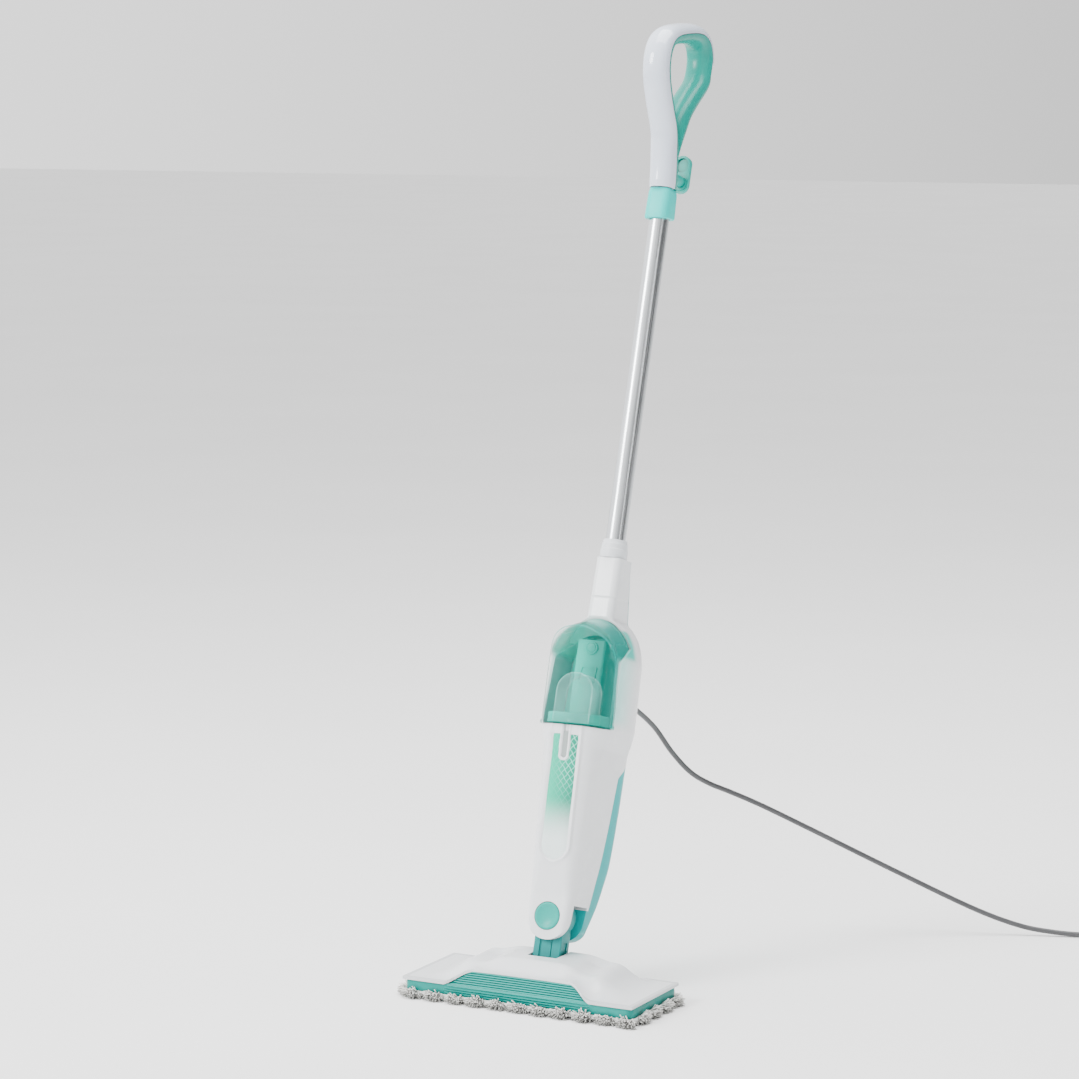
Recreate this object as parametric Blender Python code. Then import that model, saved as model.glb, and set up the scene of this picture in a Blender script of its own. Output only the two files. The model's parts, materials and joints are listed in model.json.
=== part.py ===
"""Steam mop: head with microfibre pad, tilting and turning neck, housing with boiler and pump,
clear water tank, pumping tube with loop handle, and power cord.

Units are metres. +Z is up, +Y is the rear, the origin is at the middle of the pad's sole.
Everything above the neck is modelled in the shaft's own frame: X across, Y backwards and square
to the shaft, Z along the shaft, with its origin on the tilt axle. The empty shaft_frame leans
that frame back.
"""
import math

import bmesh
import bpy
from mathutils import Matrix, Vector

# ---- driving dimensions ------------------------------------------------------------------
GAP = 0.0003            # clearance left between touching pieces
LEAN = math.radians(17)  # how far the shaft leans back at rest
PIVOT = Vector((0.0, 0.021, 0.033))  # tilt axle

HEAD_W = 0.301          # skirt, left to right
HEAD_D = 0.122          # skirt, front to back
PAD_W = 0.322
PAD_D = 0.142
PAD_FLOOR = 0.0065      # pad thickness under the head
PAD_RIM = 0.0125        # top of the tufts round the head
SKIRT_WALL = 0.0026
SKIRT_BASE = 0.0070
SKIRT_TOP = 0.0218
PANEL_TOP = 0.0378      # top of the ribbed front panel
PANEL_HALF_TOP = 0.0655
PANEL_HALF_BASE = 0.0965
PANEL_FRONT_TOP = -0.0455
LIP_Z = 0.0245          # top of the cover's outer lip
DECK_Z = 0.0510         # top of the cover's middle platform
COVER_T = 0.0022
WELL_HALF = 0.0195      # slot in the cover that the neck swings in

NECK_HALF_X = 0.018
NECK_HALF_Y = 0.0115
AXLE_R = 0.003
SWIVEL_Z = 0.061        # height of the turning axis along the shaft
KNUCKLE_R = 0.0225
SWIVEL_PIN_R = 0.006

TUBE_Y = 0.024          # shaft tube's axis behind the tilt axle
TUBE_R = 0.01225
TUBE_WALL = 0.0012
TUBE_LOW = 0.455
TUBE_HIGH = 0.950

WALL = 0.003            # housing wall
FRONT_Y = -0.022        # housing's front face
SLOT_BACK_Y = 0.022     # rear of the slot that the knuckle turns in
LOBE_R = 0.028          # housing's round lower end
BUTTON_R = 0.0167

TANK_HALF = 0.049       # tank's bare front part, half its width at the base
TANK_TAPER = 0.0035     # how much narrower each side is where the arch begins
TANK_INSET = 0.0028     # step from the bare front part to the part inside the housing
TANK_FRONT_Y = -0.044
TANK_FRONT_R = 0.0415   # corner radius that makes the tank's front bulge
TANK_BACK_Y = 0.0375
TANK_BASE = 0.289
TANK_SHOULDER = 0.365   # where the arch begins
TANK_TOP = 0.4085       # front of the arch
TANK_RISE = 0.30        # slope of the dome, up towards the neck
TANK_WALL = 0.002

PUMP_Y = 0.0446         # pump's axis, behind the tank's recess
VALVE_X = -0.022        # tank's outlet
VALVE_Z = 0.302
CAP_X = 0.0297          # tank's filler cap
CAP_Y = 0.014
CAP_R = 0.0098

PANEL_HALF = 0.0172     # decor panel on the housing's front, half its width
PANEL_HIGH = 0.277
PANEL_LOW = 0.128
LENS_HALF = 0.0036
LENS_HIGH = 0.2805
LENS_LOW = 0.249

# Middle line of the handle loop in the shaft frame (Y, Z), from the collar up the front arm,
# over the top and back down the rear arm.
GRIP_FOOT = 0.964
LOOP = ((0.0225, GRIP_FOOT), (0.0195, 0.984), (0.0130, 1.008), (0.004, 1.035), (-0.018, 1.063),
        (-0.036, 1.092), (-0.040, 1.120), (-0.028, 1.142), (0.004, 1.157), (0.042, 1.168), (0.066, 1.164),
        (0.078, 1.145), (0.076, 1.116), (0.056, 1.090), (0.037, 1.064), (0.0280, 1.040), (0.0240, 1.018),
        (0.0225, 1.000))
GRIP_HALF_X = 0.0175
GRIP_HALF_T = 0.0125
COLLAR_R = 0.0164
GRIP_STEPS = 33
WHITE_END = 22          # step where the white front shell ends, at the rear of the top
REAR_START = 18         # step where the rear arm's own skin begins
GRIP_FOOT_R = 0.0168    # round foot of the handle, above the collar
ARM_END_X = 0.0150      # half width and half thickness where the rear arm runs into the front arm
ARM_END_T = 0.0048

HOOK_Z = 0.985
HOOK_STEM_R = 0.0070
HOOK_PLATE_Y = 0.0665
HOOK_PLATE_T = 0.0060
HOOK_HALF = 0.0110
HOOK_LOW = 0.971
HOOK_HIGH = 1.019

CORD_EXIT = Vector((0.0, 0.0640, 0.3480))   # where the cord crosses the rear cover
CORD_TILT = math.radians(15)                # how far the strain relief points down
CORD_D = 0.0065
COIL_CENTRE = (0.565, 0.655)
COIL_R = 0.0463         # middle of the turns
COIL_LAYERS = 4         # turns side by side and one above the other
RELIEF_TIP = CORD_EXIT + Vector((0.0, math.cos(CORD_TILT), -math.sin(CORD_TILT))) * (0.036 + GAP)
CORD_FLOOR = CORD_D / 2 + GAP
# Route of the lead from the strain relief to the coil, in world metres.
LEAD_ROUTE = ((0.003, 0.256, 0.3050), (0.011, 0.287, 0.2800), (0.022, 0.313, 0.2460), (0.036, 0.337, 0.2180),
              (0.052, 0.359, 0.2010), (0.072, 0.383, 0.1870), (0.105, 0.410, 0.1670), (0.160, 0.450, 0.1320),
              (0.250, 0.500, 0.0800), (0.340, 0.540, 0.0335), (0.395, 0.562, 0.0125), (0.435, 0.576, 0.0056),
              (0.470, 0.587, CORD_FLOOR), (0.505, 0.595, CORD_FLOOR), (0.536, 0.5992, CORD_FLOOR))
# Route of the tail from the top of the coil to the plug, given from the coil's centre.
COIL_BASE = 0.0016
COIL_HALF = COIL_LAYERS * CORD_D / 2
COIL_TOP = COIL_BASE + COIL_LAYERS * CORD_D
TAIL_ROUTE = ((0.0561, 0.0290, COIL_TOP - CORD_D / 2), (0.0558, 0.0400, 0.0225), (0.0530, 0.0530, 0.0170),
              (0.0465, 0.0650, 0.0130), (0.0360, 0.0735, 0.0115), (0.0230, 0.0775, 0.0115),
              (0.0150, 0.0780, 0.0115))
PLUG_END = Vector((0.0141, 0.0780, 0.0115))
PLUG_LENGTH = 0.036
PLUG_HALF_W = 0.0115
PLUG_HALF_H = 0.0085

# ---- materials: colour, roughness, metallic ----------------------------------------------
FINISHES = {
    "white_gloss": ((0.86, 0.88, 0.89), 0.22, 0.0),
    "teal_gloss": ((0.08, 0.62, 0.56), 0.30, 0.0),
    "teal_satin": ((0.10, 0.58, 0.54), 0.45, 0.0),
    "teal_clear": ((0.05, 0.60, 0.52), 0.12, 0.0),
    "clear": ((0.80, 0.93, 0.92), 0.06, 0.0),
    "light_grey": ((0.62, 0.65, 0.67), 0.40, 0.0),
    "dark_grey": ((0.12, 0.125, 0.135), 0.50, 0.0),
    "black": ((0.03, 0.03, 0.03), 0.55, 0.0),
    "aluminium": ((0.72, 0.74, 0.76), 0.28, 1.0),
    "steel": ((0.60, 0.60, 0.61), 0.30, 1.0),
    "brass": ((0.75, 0.58, 0.25), 0.30, 1.0),
    "rubber": ((0.05, 0.05, 0.055), 0.80, 0.0),
    "silicone": ((0.75, 0.72, 0.66), 0.55, 0.0),
    "microfibre": ((0.74, 0.73, 0.70), 0.95, 0.0),
    "hook_fabric": ((0.15, 0.15, 0.16), 0.90, 0.0),
}
MATERIALS = {}


def material(finish):
    if finish not in MATERIALS:
        colour, roughness, metallic = FINISHES[finish]
        made = bpy.data.materials.new(finish)
        made.use_nodes = True
        shader = made.node_tree.nodes["Principled BSDF"]
        shader.inputs["Base Color"].default_value = (*colour, 1.0)
        shader.inputs["Roughness"].default_value = roughness
        shader.inputs["Metallic"].default_value = metallic
        if finish in ("clear", "teal_clear"):
            shader.inputs["Transmission Weight"].default_value = 0.9
        MATERIALS[finish] = made
    return MATERIALS[finish]


# ---- building blocks ---------------------------------------------------------------------
def add(name, mesh_maker, finish=None, frame=None, at=(0, 0, 0)):
    """Make one object from a bmesh. `at` is its origin in `frame`; the shape is given about it."""
    mesh = bpy.data.meshes.new(name)
    mesh_maker.normal_update()
    mesh_maker.to_mesh(mesh)
    mesh_maker.free()
    mesh.transform(Matrix.Translation(-Vector(at)))
    mesh.shade_smooth()
    mesh.set_sharp_from_angle(angle=math.radians(35))
    made = bpy.data.objects.new(name, mesh)
    bpy.context.scene.collection.objects.link(made)
    made.parent = frame
    made.location = at
    if finish:
        made.data.materials.append(material(finish))
    else:
        made.hide_render = True
        made.display_type = "WIRE"
    return made


def boolean(made, tool, operation):
    step = made.modifiers.new(operation.lower(), "BOOLEAN")
    step.operation = operation
    step.object = tool
    step.solver = "EXACT"


def cut(made, *tools):
    for tool in tools:
        boolean(made, tool, "DIFFERENCE")
    return made


def fuse(made, *tools):
    for tool in tools:
        boolean(made, tool, "UNION")
    return made


def keep(made, tool):
    boolean(made, tool, "INTERSECT")
    return made


def loft(rings):
    """Closed skin through rings of equal length, with flat ends."""
    shape = bmesh.new()
    rows = [[shape.verts.new(point) for point in ring] for ring in rings]
    count = len(rows[0])
    for lower, upper in zip(rows, rows[1:]):
        for i in range(count):
            j = (i + 1) % count
            shape.faces.new((lower[i], lower[j], upper[j], upper[i]))
    shape.faces.new(reversed(rows[0]))
    shape.faces.new(rows[-1])
    bmesh.ops.recalc_face_normals(shape, faces=shape.faces[:])
    return shape


def fillet_outline(corners, segments=4):
    """Closed outline with an arc of its own radius at each (x, y, radius) corner."""
    points = []
    total = len(corners)
    for i, (x, y, radius) in enumerate(corners):
        here = Vector((x, y))
        before = (Vector(corners[i - 1][:2]) - here).normalized()
        after = (Vector(corners[(i + 1) % total][:2]) - here).normalized()
        if radius <= 0:
            points.append(tuple(here))
            continue
        half = math.acos(max(-1.0, min(1.0, before.dot(after)))) / 2
        reach = radius / math.tan(half)
        centre = here + (before + after).normalized() * (radius / math.sin(half))
        start = here + before * reach - centre
        end = here + after * reach - centre
        sweep = start.angle_signed(end)
        for step in range(segments + 1):
            turn = Matrix.Rotation(-sweep * step / segments, 2)
            points.append(tuple(centre + turn @ start))
    return points


def arch_outline(half, taper, base, shoulder, top, segments=14, corner=0.006):
    """Window-like outline in X and Z: sides that lean in by `taper`, and an elliptical arch."""
    points = [(-half, base + corner), (-half + corner, base), (half - corner, base), (half, base + corner)]
    for step in range(segments + 1):
        angle = math.pi * step / segments
        points.append(((half - taper) * math.cos(angle), shoulder + (top - shoulder) * math.sin(angle)))
    return points


def prism(outline, axis, low, high):
    """Extrude a 2-D outline along an axis: its two numbers are the other axes in X, Y, Z order."""
    def place(point, level):
        if axis == "X":
            return (level, point[0], point[1])
        if axis == "Y":
            return (point[0], level, point[1])
        return (point[0], point[1], level)
    return loft([[place(p, low) for p in outline], [place(p, high) for p in outline]])


def box(low, high):
    (x0, y0, z0), (x1, y1, z1) = low, high
    return prism([(x0, y0), (x1, y0), (x1, y1), (x0, y1)], "Z", z0, z1)


def turned(profile, centre, axis="Z", sides=24):
    """Turn a closed profile of (radius, height) points round an axis through `centre`."""
    shape = bmesh.new()
    if min(r for r, h in profile) > 0:
        columns = []
        for i in range(sides):
            angle = 2 * math.pi * i / sides
            columns.append([shape.verts.new((r * math.cos(angle), r * math.sin(angle), h)) for r, h in profile])
        for i in range(sides):
            near, far = columns[i], columns[(i + 1) % sides]
            for k in range(len(profile)):
                n = (k + 1) % len(profile)
                shape.faces.new((near[k], far[k], far[n], near[n]))
    else:
        rings = []
        for r, h in profile:
            if r > 0:
                angles = [2 * math.pi * i / sides for i in range(sides)]
                rings.append([shape.verts.new((r * math.cos(a), r * math.sin(a), h)) for a in angles])
        for lower, upper in zip(rings, rings[1:]):
            for i in range(sides):
                j = (i + 1) % sides
                shape.faces.new((lower[i], lower[j], upper[j], upper[i]))
        shape.faces.new(rings[0])
        shape.faces.new(rings[-1])
    bmesh.ops.recalc_face_normals(shape, faces=shape.faces[:])
    turn = {"X": Matrix.Rotation(math.pi / 2, 4, "Y"), "Y": Matrix.Rotation(-math.pi / 2, 4, "X"),
            "Z": Matrix.Identity(4)}[axis]
    shape.transform(Matrix.Translation(Vector(centre)) @ turn)
    return shape


def rod(radius, centre, low, high, axis="Z", sides=24):
    """Solid cylinder along an axis; low and high are distances from `centre` along it."""
    return turned([(0, low), (radius, low), (radius, high), (0, high)], centre, axis, sides)


def pipe(outer, inner, centre, low, high, axis="Z", sides=24):
    return turned([(inner, low), (outer, low), (outer, high), (inner, high)], centre, axis, sides)


def tube_curve(name, points, radius, finish, frame=None, resolution=2):
    """Round cable or hose through the given points, on a poly spline with filled caps."""
    curve = bpy.data.curves.new(name, "CURVE")
    curve.dimensions = "3D"
    curve.bevel_depth = radius
    curve.bevel_resolution = resolution
    curve.use_fill_caps = True
    spline = curve.splines.new("POLY")
    spline.points.add(len(points) - 1)
    for slot, point in zip(spline.points, points):
        slot.co = (*point, 1.0)
    spline.use_smooth = True
    made = bpy.data.objects.new(name, curve)
    bpy.context.scene.collection.objects.link(made)
    made.parent = frame
    curve.materials.append(material(finish))
    return made


def smooth_route(route, spacing):
    """Points about `spacing` apart on a smooth curve through the route's own points."""
    ends = [2 * route[0] - route[1]] + route + [2 * route[-1] - route[-2]]
    dense = []
    for a, b, c, d in zip(ends, ends[1:], ends[2:], ends[3:]):
        for step in range(24):
            t = step / 24
            dense.append(0.5 * ((2 * b) + (c - a) * t + (2 * a - 5 * b + 4 * c - d) * t ** 2
                                + (3 * b - a - 3 * c + d) * t ** 3))
    dense.append(route[-1])
    length = sum((b - a).length for a, b in zip(dense, dense[1:]))
    count = max(2, round(length / spacing))
    points = [dense[0]]
    walked = 0.0
    for a, b in zip(dense, dense[1:]):
        walked += (b - a).length
        if walked >= length / count * len(points) and len(points) < count:
            points.append(b)
    points.append(dense[-1])
    return points


# ---- scene -------------------------------------------------------------------------------
for leftover in list(bpy.data.objects):
    bpy.data.objects.remove(leftover, do_unlink=True)

shaft_frame = bpy.data.objects.new("shaft_frame", None)
bpy.context.scene.collection.objects.link(shaft_frame)
shaft_frame.location = PIVOT
shaft_frame.rotation_euler = (-LEAN, 0, 0)


def shaft_to_world(point):
    return PIVOT + Matrix.Rotation(-LEAN, 3, "X") @ Vector(point)


# ---- mop head ----------------------------------------------------------------------------
def rectangle(width, depth, radius):
    x, y = width / 2, depth / 2
    return fillet_outline([(-x, -y, radius), (x, -y, radius), (x, y, radius), (-x, y, radius)], 4)


def smooth_step(t):
    t = max(0.0, min(1.0, t))
    return t * t * (3 - 2 * t)


def cover_front_edge(x):
    """Where the cover's front edge runs: low at the wings, up over the ribbed panel."""
    t = (abs(x) - PANEL_HALF_TOP) / (PANEL_HALF_BASE - PANEL_HALF_TOP)
    t = max(0.0, min(1.0, t))
    front_high = PANEL_FRONT_TOP + GAP
    front_low = -HEAD_D / 2 + 0.0005
    high = PANEL_TOP + COVER_T + 2 * GAP
    return front_high + (front_low - front_high) * t, high + (LIP_Z - high) * t


def cover_height(x, y):
    """Top surface of the head cover: a middle platform that falls to low wings and lips."""
    front_y, front_z = cover_front_edge(x)
    deck = LIP_Z + (DECK_Z - LIP_Z) * smooth_step((0.134 - abs(x)) / 0.088)
    rear = LIP_Z + 0.30 * (deck - LIP_Z)
    deck_front, deck_rear = -0.012, 0.040
    if y < deck_front:
        return front_z + (deck - front_z) * smooth_step((y - front_y) / (deck_front - front_y))
    if y > deck_rear:
        return deck + (rear - deck) * smooth_step((y - deck_rear) / (HEAD_D / 2 - deck_rear))
    return deck


def head_cover_columns():
    """Places across the cover, closest where its front edge bends."""
    stops = ((-HEAD_W / 2 + 0.0005, 6), (-PANEL_HALF_BASE, 4), (-PANEL_HALF_TOP, 14), (PANEL_HALF_TOP, 4),
             (PANEL_HALF_BASE, 6), (HEAD_W / 2 - 0.0005, 0))
    places = []
    for (start, count), (end, _) in zip(stops, stops[1:]):
        places += [start + (end - start) * i / count for i in range(count)]
    return places + [stops[-1][0]]


def head_cover_shape(rows=14):
    shape = bmesh.new()
    places = head_cover_columns()
    columns = len(places) - 1
    top, bottom = [], []
    for x in places:
        front_y = cover_front_edge(x)[0]
        rear_y = HEAD_D / 2 - 0.0005
        line_top, line_bottom = [], []
        for j in range(rows + 1):
            y = front_y + (rear_y - front_y) * j / rows
            z = cover_height(x, y)
            line_top.append(shape.verts.new((x, y, z)))
            line_bottom.append(shape.verts.new((x, y, z - COVER_T)))
        top.append(line_top)
        bottom.append(line_bottom)
    for i in range(columns):
        for j in range(rows):
            shape.faces.new((top[i][j], top[i + 1][j], top[i + 1][j + 1], top[i][j + 1]))
            shape.faces.new((bottom[i][j], bottom[i][j + 1], bottom[i + 1][j + 1], bottom[i + 1][j]))
    for i in range(columns):
        for j in (0, rows):
            shape.faces.new((top[i][j], bottom[i][j], bottom[i + 1][j], top[i + 1][j]))
    for j in range(rows):
        for i in (0, columns):
            shape.faces.new((top[i][j], top[i][j + 1], bottom[i][j + 1], bottom[i][j]))
    bmesh.ops.recalc_face_normals(shape, faces=shape.faces[:])
    return shape


def make_head():
    pad = add("floor_pad", prism(rectangle(PAD_W, PAD_D, 0.012), "Z", 0.0, PAD_RIM), "microfibre")
    pocket = prism(rectangle(HEAD_W + 4 * GAP, HEAD_D + 4 * GAP, 0.008), "Z", PAD_FLOOR, 0.03)
    cut(pad, add("pad_pocket", pocket))

    for name, y in (("hook_strip_front", -0.036), ("hook_strip_rear", 0.036)):
        low = (-0.120, y - 0.011, PAD_FLOOR + GAP)
        high = (0.120, y + 0.011, PAD_FLOOR + GAP + 0.0015)
        add(name, box(low, high), "hook_fabric")

    plate_z = PAD_FLOOR + 2 * GAP + 0.0015
    inner_w = HEAD_W - 2 * SKIRT_WALL - 2 * GAP
    inner_d = HEAD_D - 2 * SKIRT_WALL - 2 * GAP
    plate = add("base_plate", prism(rectangle(inner_w, inner_d, 0.005), "Z", plate_z, plate_z + 0.004), "teal_satin")
    for i in range(5):
        x = 0.042 * (i - 2)
        cut(plate, add(f"steam_port_{i}", box((x - 0.009, -0.0035, 0.0), (x + 0.009, 0.0035, 0.03))))

    skirt = add("skirt", prism(rectangle(HEAD_W, HEAD_D, 0.008), "Z", SKIRT_BASE, SKIRT_TOP), "teal_gloss")
    hollow = prism(rectangle(inner_w + 2 * GAP, inner_d + 2 * GAP, 0.0055), "Z", 0.0, 0.1)
    panel_foot = SKIRT_TOP - 0.003
    front = -HEAD_D / 2
    panel = loft([
        [(-PANEL_HALF_BASE, front, panel_foot), (PANEL_HALF_BASE, front, panel_foot),
         (PANEL_HALF_BASE, front + SKIRT_WALL, panel_foot), (-PANEL_HALF_BASE, front + SKIRT_WALL, panel_foot)],
        [(-PANEL_HALF_TOP, PANEL_FRONT_TOP, PANEL_TOP), (PANEL_HALF_TOP, PANEL_FRONT_TOP, PANEL_TOP),
         (PANEL_HALF_TOP, PANEL_FRONT_TOP + SKIRT_WALL, PANEL_TOP),
         (-PANEL_HALF_TOP, PANEL_FRONT_TOP + SKIRT_WALL, PANEL_TOP)]])
    cut(skirt, add("skirt_hollow", hollow))
    fuse(skirt, add("front_panel", panel))

    cover = add("head_cover", head_cover_shape(), "white_gloss")
    well = box((-WELL_HALF, 0.004, 0.017), (WELL_HALF, 0.0575, 0.09))
    cut(cover, add("neck_well", well))

    bracket_z = plate_z + 0.004 + GAP
    for side, sign in (("left", -1), ("right", 1)):
        x0, x1 = sorted((sign * 0.0215, sign * 0.0265))
        bracket = add(f"axle_bracket_{side}", box((x0, 0.009, bracket_z), (x1, 0.033, 0.0425)), "light_grey")
        cut(bracket, add(f"bracket_bore_{side}", rod(0.0052, (0, PIVOT.y, PIVOT.z), x0 - 0.01, x1 + 0.01, "X")))
        b0, b1 = sorted((sign * 0.0205, sign * 0.0275))
        add(f"axle_bush_{side}", pipe(0.0049, AXLE_R + GAP, (0, PIVOT.y, PIVOT.z), b0, b1, "X"), "brass")
    add("tilt_axle", rod(AXLE_R, (0, PIVOT.y, PIVOT.z), -0.031, 0.031, "X", 20), "steel")

    manifold = add("steam_manifold", box((-0.095, -0.016, bracket_z), (0.095, 0.0045, bracket_z + 0.006)),
                   "silicone")
    fuse(manifold, add("manifold_spigot", rod(0.004, (0, -0.006, 0), bracket_z + 0.003, bracket_z + 0.014)))

    for i, (x, y) in enumerate(((-0.115, -0.030), (0.115, -0.030), (-0.115, 0.030), (0.115, 0.030)), 1):
        post = rod(0.004, (x, y, 0), plate_z + 0.004 + GAP, LIP_Z - COVER_T - 2 * GAP, "Z", 14)
        add(f"head_post_{i}", post, "steel")


# ---- neck between head and housing -------------------------------------------------------
def make_neck():
    column = box((-NECK_HALF_X, -NECK_HALF_Y, -0.002), (NECK_HALF_X, NECK_HALF_Y, SWIVEL_Z - 0.004))
    block = add("neck_block", column, "teal_satin", shaft_frame)
    heel = rod(NECK_HALF_Y - 0.0002, (0, 0, 0), -NECK_HALF_X + 0.0002, NECK_HALF_X - 0.0002, "X", 28)
    knuckle = rod(KNUCKLE_R, (0, 0, SWIVEL_Z), -NECK_HALF_Y + 0.0002, NECK_HALF_Y - 0.0002, "Y", 36)
    fuse(block, add("neck_heel", heel, None, shaft_frame))
    fuse(block, add("neck_knuckle", knuckle, None, shaft_frame))
    cut(block, add("neck_axle_bore", rod(AXLE_R + GAP, (0, 0, 0), -0.03, 0.03, "X", 20), None, shaft_frame))
    cut(block, add("neck_pin_bore", rod(SWIVEL_PIN_R + GAP, (0, 0, SWIVEL_Z), -0.03, 0.03, "Y"), None, shaft_frame))
    cut(block, add("neck_hose_bore", rod(0.0043, (0, 0, 0), 0.001, 0.056, "Z", 16), None, shaft_frame))
    add("neck_steam_tube", pipe(0.004, 0.0022, (0, 0, 0), 0.009, 0.050, "Z", 16), "silicone", shaft_frame)


# ---- housing -----------------------------------------------------------------------------
# Sections across the shaft: height, half width front and rear, front and rear face, corner radii.
BODY_SECTIONS = (
    (0.026, 0.0240, 0.0220, -0.0200, 0.0360, 0.008, 0.012),
    (0.045, 0.0265, 0.0250, -0.0215, 0.0430, 0.009, 0.013),
    (0.061, 0.0280, 0.0275, -0.0220, 0.0500, 0.009, 0.014),
    (0.083, 0.0291, 0.0308, -0.0224, 0.0588, 0.010, 0.016),
    (0.100, 0.0298, 0.0330, -0.0250, 0.0630, 0.014, 0.017),
    (0.135, 0.0315, 0.0370, -0.0295, 0.0690, 0.020, 0.019),
    (0.200, 0.0345, 0.0395, -0.0340, 0.0710, 0.026, 0.021),
    (0.262, 0.0375, 0.0435, -0.0372, 0.0695, 0.030, 0.025),
    (0.280, 0.0440, 0.0480, -0.0385, 0.0690, 0.036, 0.028),
    (0.295, 0.0488, 0.0505, -0.0390, 0.0680, 0.040, 0.030),
    (0.370, 0.0468, 0.0508, -0.0370, 0.0665, 0.038, 0.031),
    (0.390, 0.0435, 0.0465, -0.0200, 0.0655, 0.020, 0.029),
    (0.404, 0.0375, 0.0400, -0.0060, 0.0645, 0.014, 0.026),
    (0.416, 0.0270, 0.0300, 0.0005, 0.0625, 0.010, 0.020),
    (0.425, 0.0175, 0.0190, 0.0055, 0.0610, 0.008, 0.013),
    (0.460, 0.0175, 0.0175, 0.0080, 0.0555, 0.008, 0.012),
    (0.500, 0.0170, 0.0170, 0.0090, 0.0500, 0.008, 0.012),
)
# Side outline of the rear cover: where it parts from the front shell, bottom to top.
REAR_SPLIT = ((SLOT_BACK_Y, 0.010), (SLOT_BACK_Y, 0.0735), (0.029, 0.0735), (0.040, 0.181), (0.042, 0.233),
              (0.062, 0.254), (0.060, 0.390), (0.054, 0.424), (0.0455, 0.510))


def body_ring(section, inset=0.0):
    z, front_half, rear_half, front, rear, front_radius, rear_radius = section
    fx, rx = front_half - inset, rear_half - inset
    fy, ry = front + inset, rear - inset
    fr, rr = max(0.003, front_radius - inset), max(0.003, rear_radius - inset)
    outline = fillet_outline([(-fx, fy, fr), (fx, fy, fr), (rx, ry, rr), (-rx, ry, rr)], 5)
    return [(x, y, z) for x, y in outline]


def section_at(z):
    """The housing's section at any height, between the stated ones."""
    for low, high in zip(BODY_SECTIONS, BODY_SECTIONS[1:]):
        if low[0] <= z <= high[0]:
            t = (z - low[0]) / (high[0] - low[0])
            return tuple(a + (b - a) * t for a, b in zip(low, high))
    raise ValueError("height outside the housing")


def body_solid(inset=0.0, low=None, high=None):
    stations = [s for s in BODY_SECTIONS if (low is None or s[0] > low) and (high is None or s[0] < high)]
    if low is not None:
        stations.insert(0, section_at(low))
    if high is not None:
        stations.append(section_at(high))
    return loft([body_ring(s, inset) for s in stations])


def rear_region(shift=0.0):
    outline = [(y - shift, z) for y, z in REAR_SPLIT] + [(0.12, 0.510), (0.12, 0.010)]
    return prism(outline, "X", -0.08, 0.08)


def bare_region(shift=0.0):
    """Everything in front of this side outline lets the tank show."""
    outline = [(-0.06, TANK_BASE - GAP), (-0.011 - shift, TANK_BASE - GAP), (-0.0095 - shift, 0.372),
               (0.017 - shift, 0.391), (0.0045 - shift, 0.431), (-0.06, 0.431)]
    return prism(outline, "X", -0.08, 0.08)


def tank_arch(inset, floor, slope, low_y, high_y):
    """The tank's front outline carried along Y, its arch rising by `slope`."""
    rings = []
    for y in (low_y, high_y):
        top = TANK_TOP - inset + slope * (y - TANK_FRONT_Y)
        outline = arch_outline(TANK_HALF - inset, TANK_TAPER, floor, TANK_SHOULDER, top)
        rings.append([(x, y, z) for x, z in outline])
    return loft(rings)


def tank_plan(inset):
    """Upright block with the tank's bulging front."""
    half, front, radius = TANK_HALF - inset, TANK_FRONT_Y + inset, TANK_FRONT_R - inset
    outline = fillet_outline([(-half, front, radius), (half, front, radius),
                              (half, TANK_BACK_Y, 0.0), (-half, TANK_BACK_Y, 0.0)], 9)
    return prism(outline, "Z", 0.27, 0.45)


def lower_end(low_y, high_y, radius):
    """Front-view outline of the housing's round lower end, as a prism along Y."""
    points = []
    for step in range(19):
        angle = math.pi + math.pi * step / 18
        points.append((radius * math.cos(angle), SWIVEL_Z + radius * math.sin(angle)))
    points += [(0.08, SWIVEL_Z), (0.08, 0.6), (-0.08, 0.6), (-0.08, SWIVEL_Z)]
    return prism(points, "Y", low_y, high_y)


def knuckle_slot():
    slot = box((-0.08, -NECK_HALF_Y - 2 * GAP, -0.01), (0.08, SLOT_BACK_Y, 0.0765))
    made = add("knuckle_slot", slot, None, shaft_frame)
    dome = rod(KNUCKLE_R + 0.0015, (0, 0, SWIVEL_Z), -NECK_HALF_Y - GAP, SLOT_BACK_Y - GAP, "Y", 36)
    return fuse(made, add("knuckle_dome", dome, None, shaft_frame))


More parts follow.
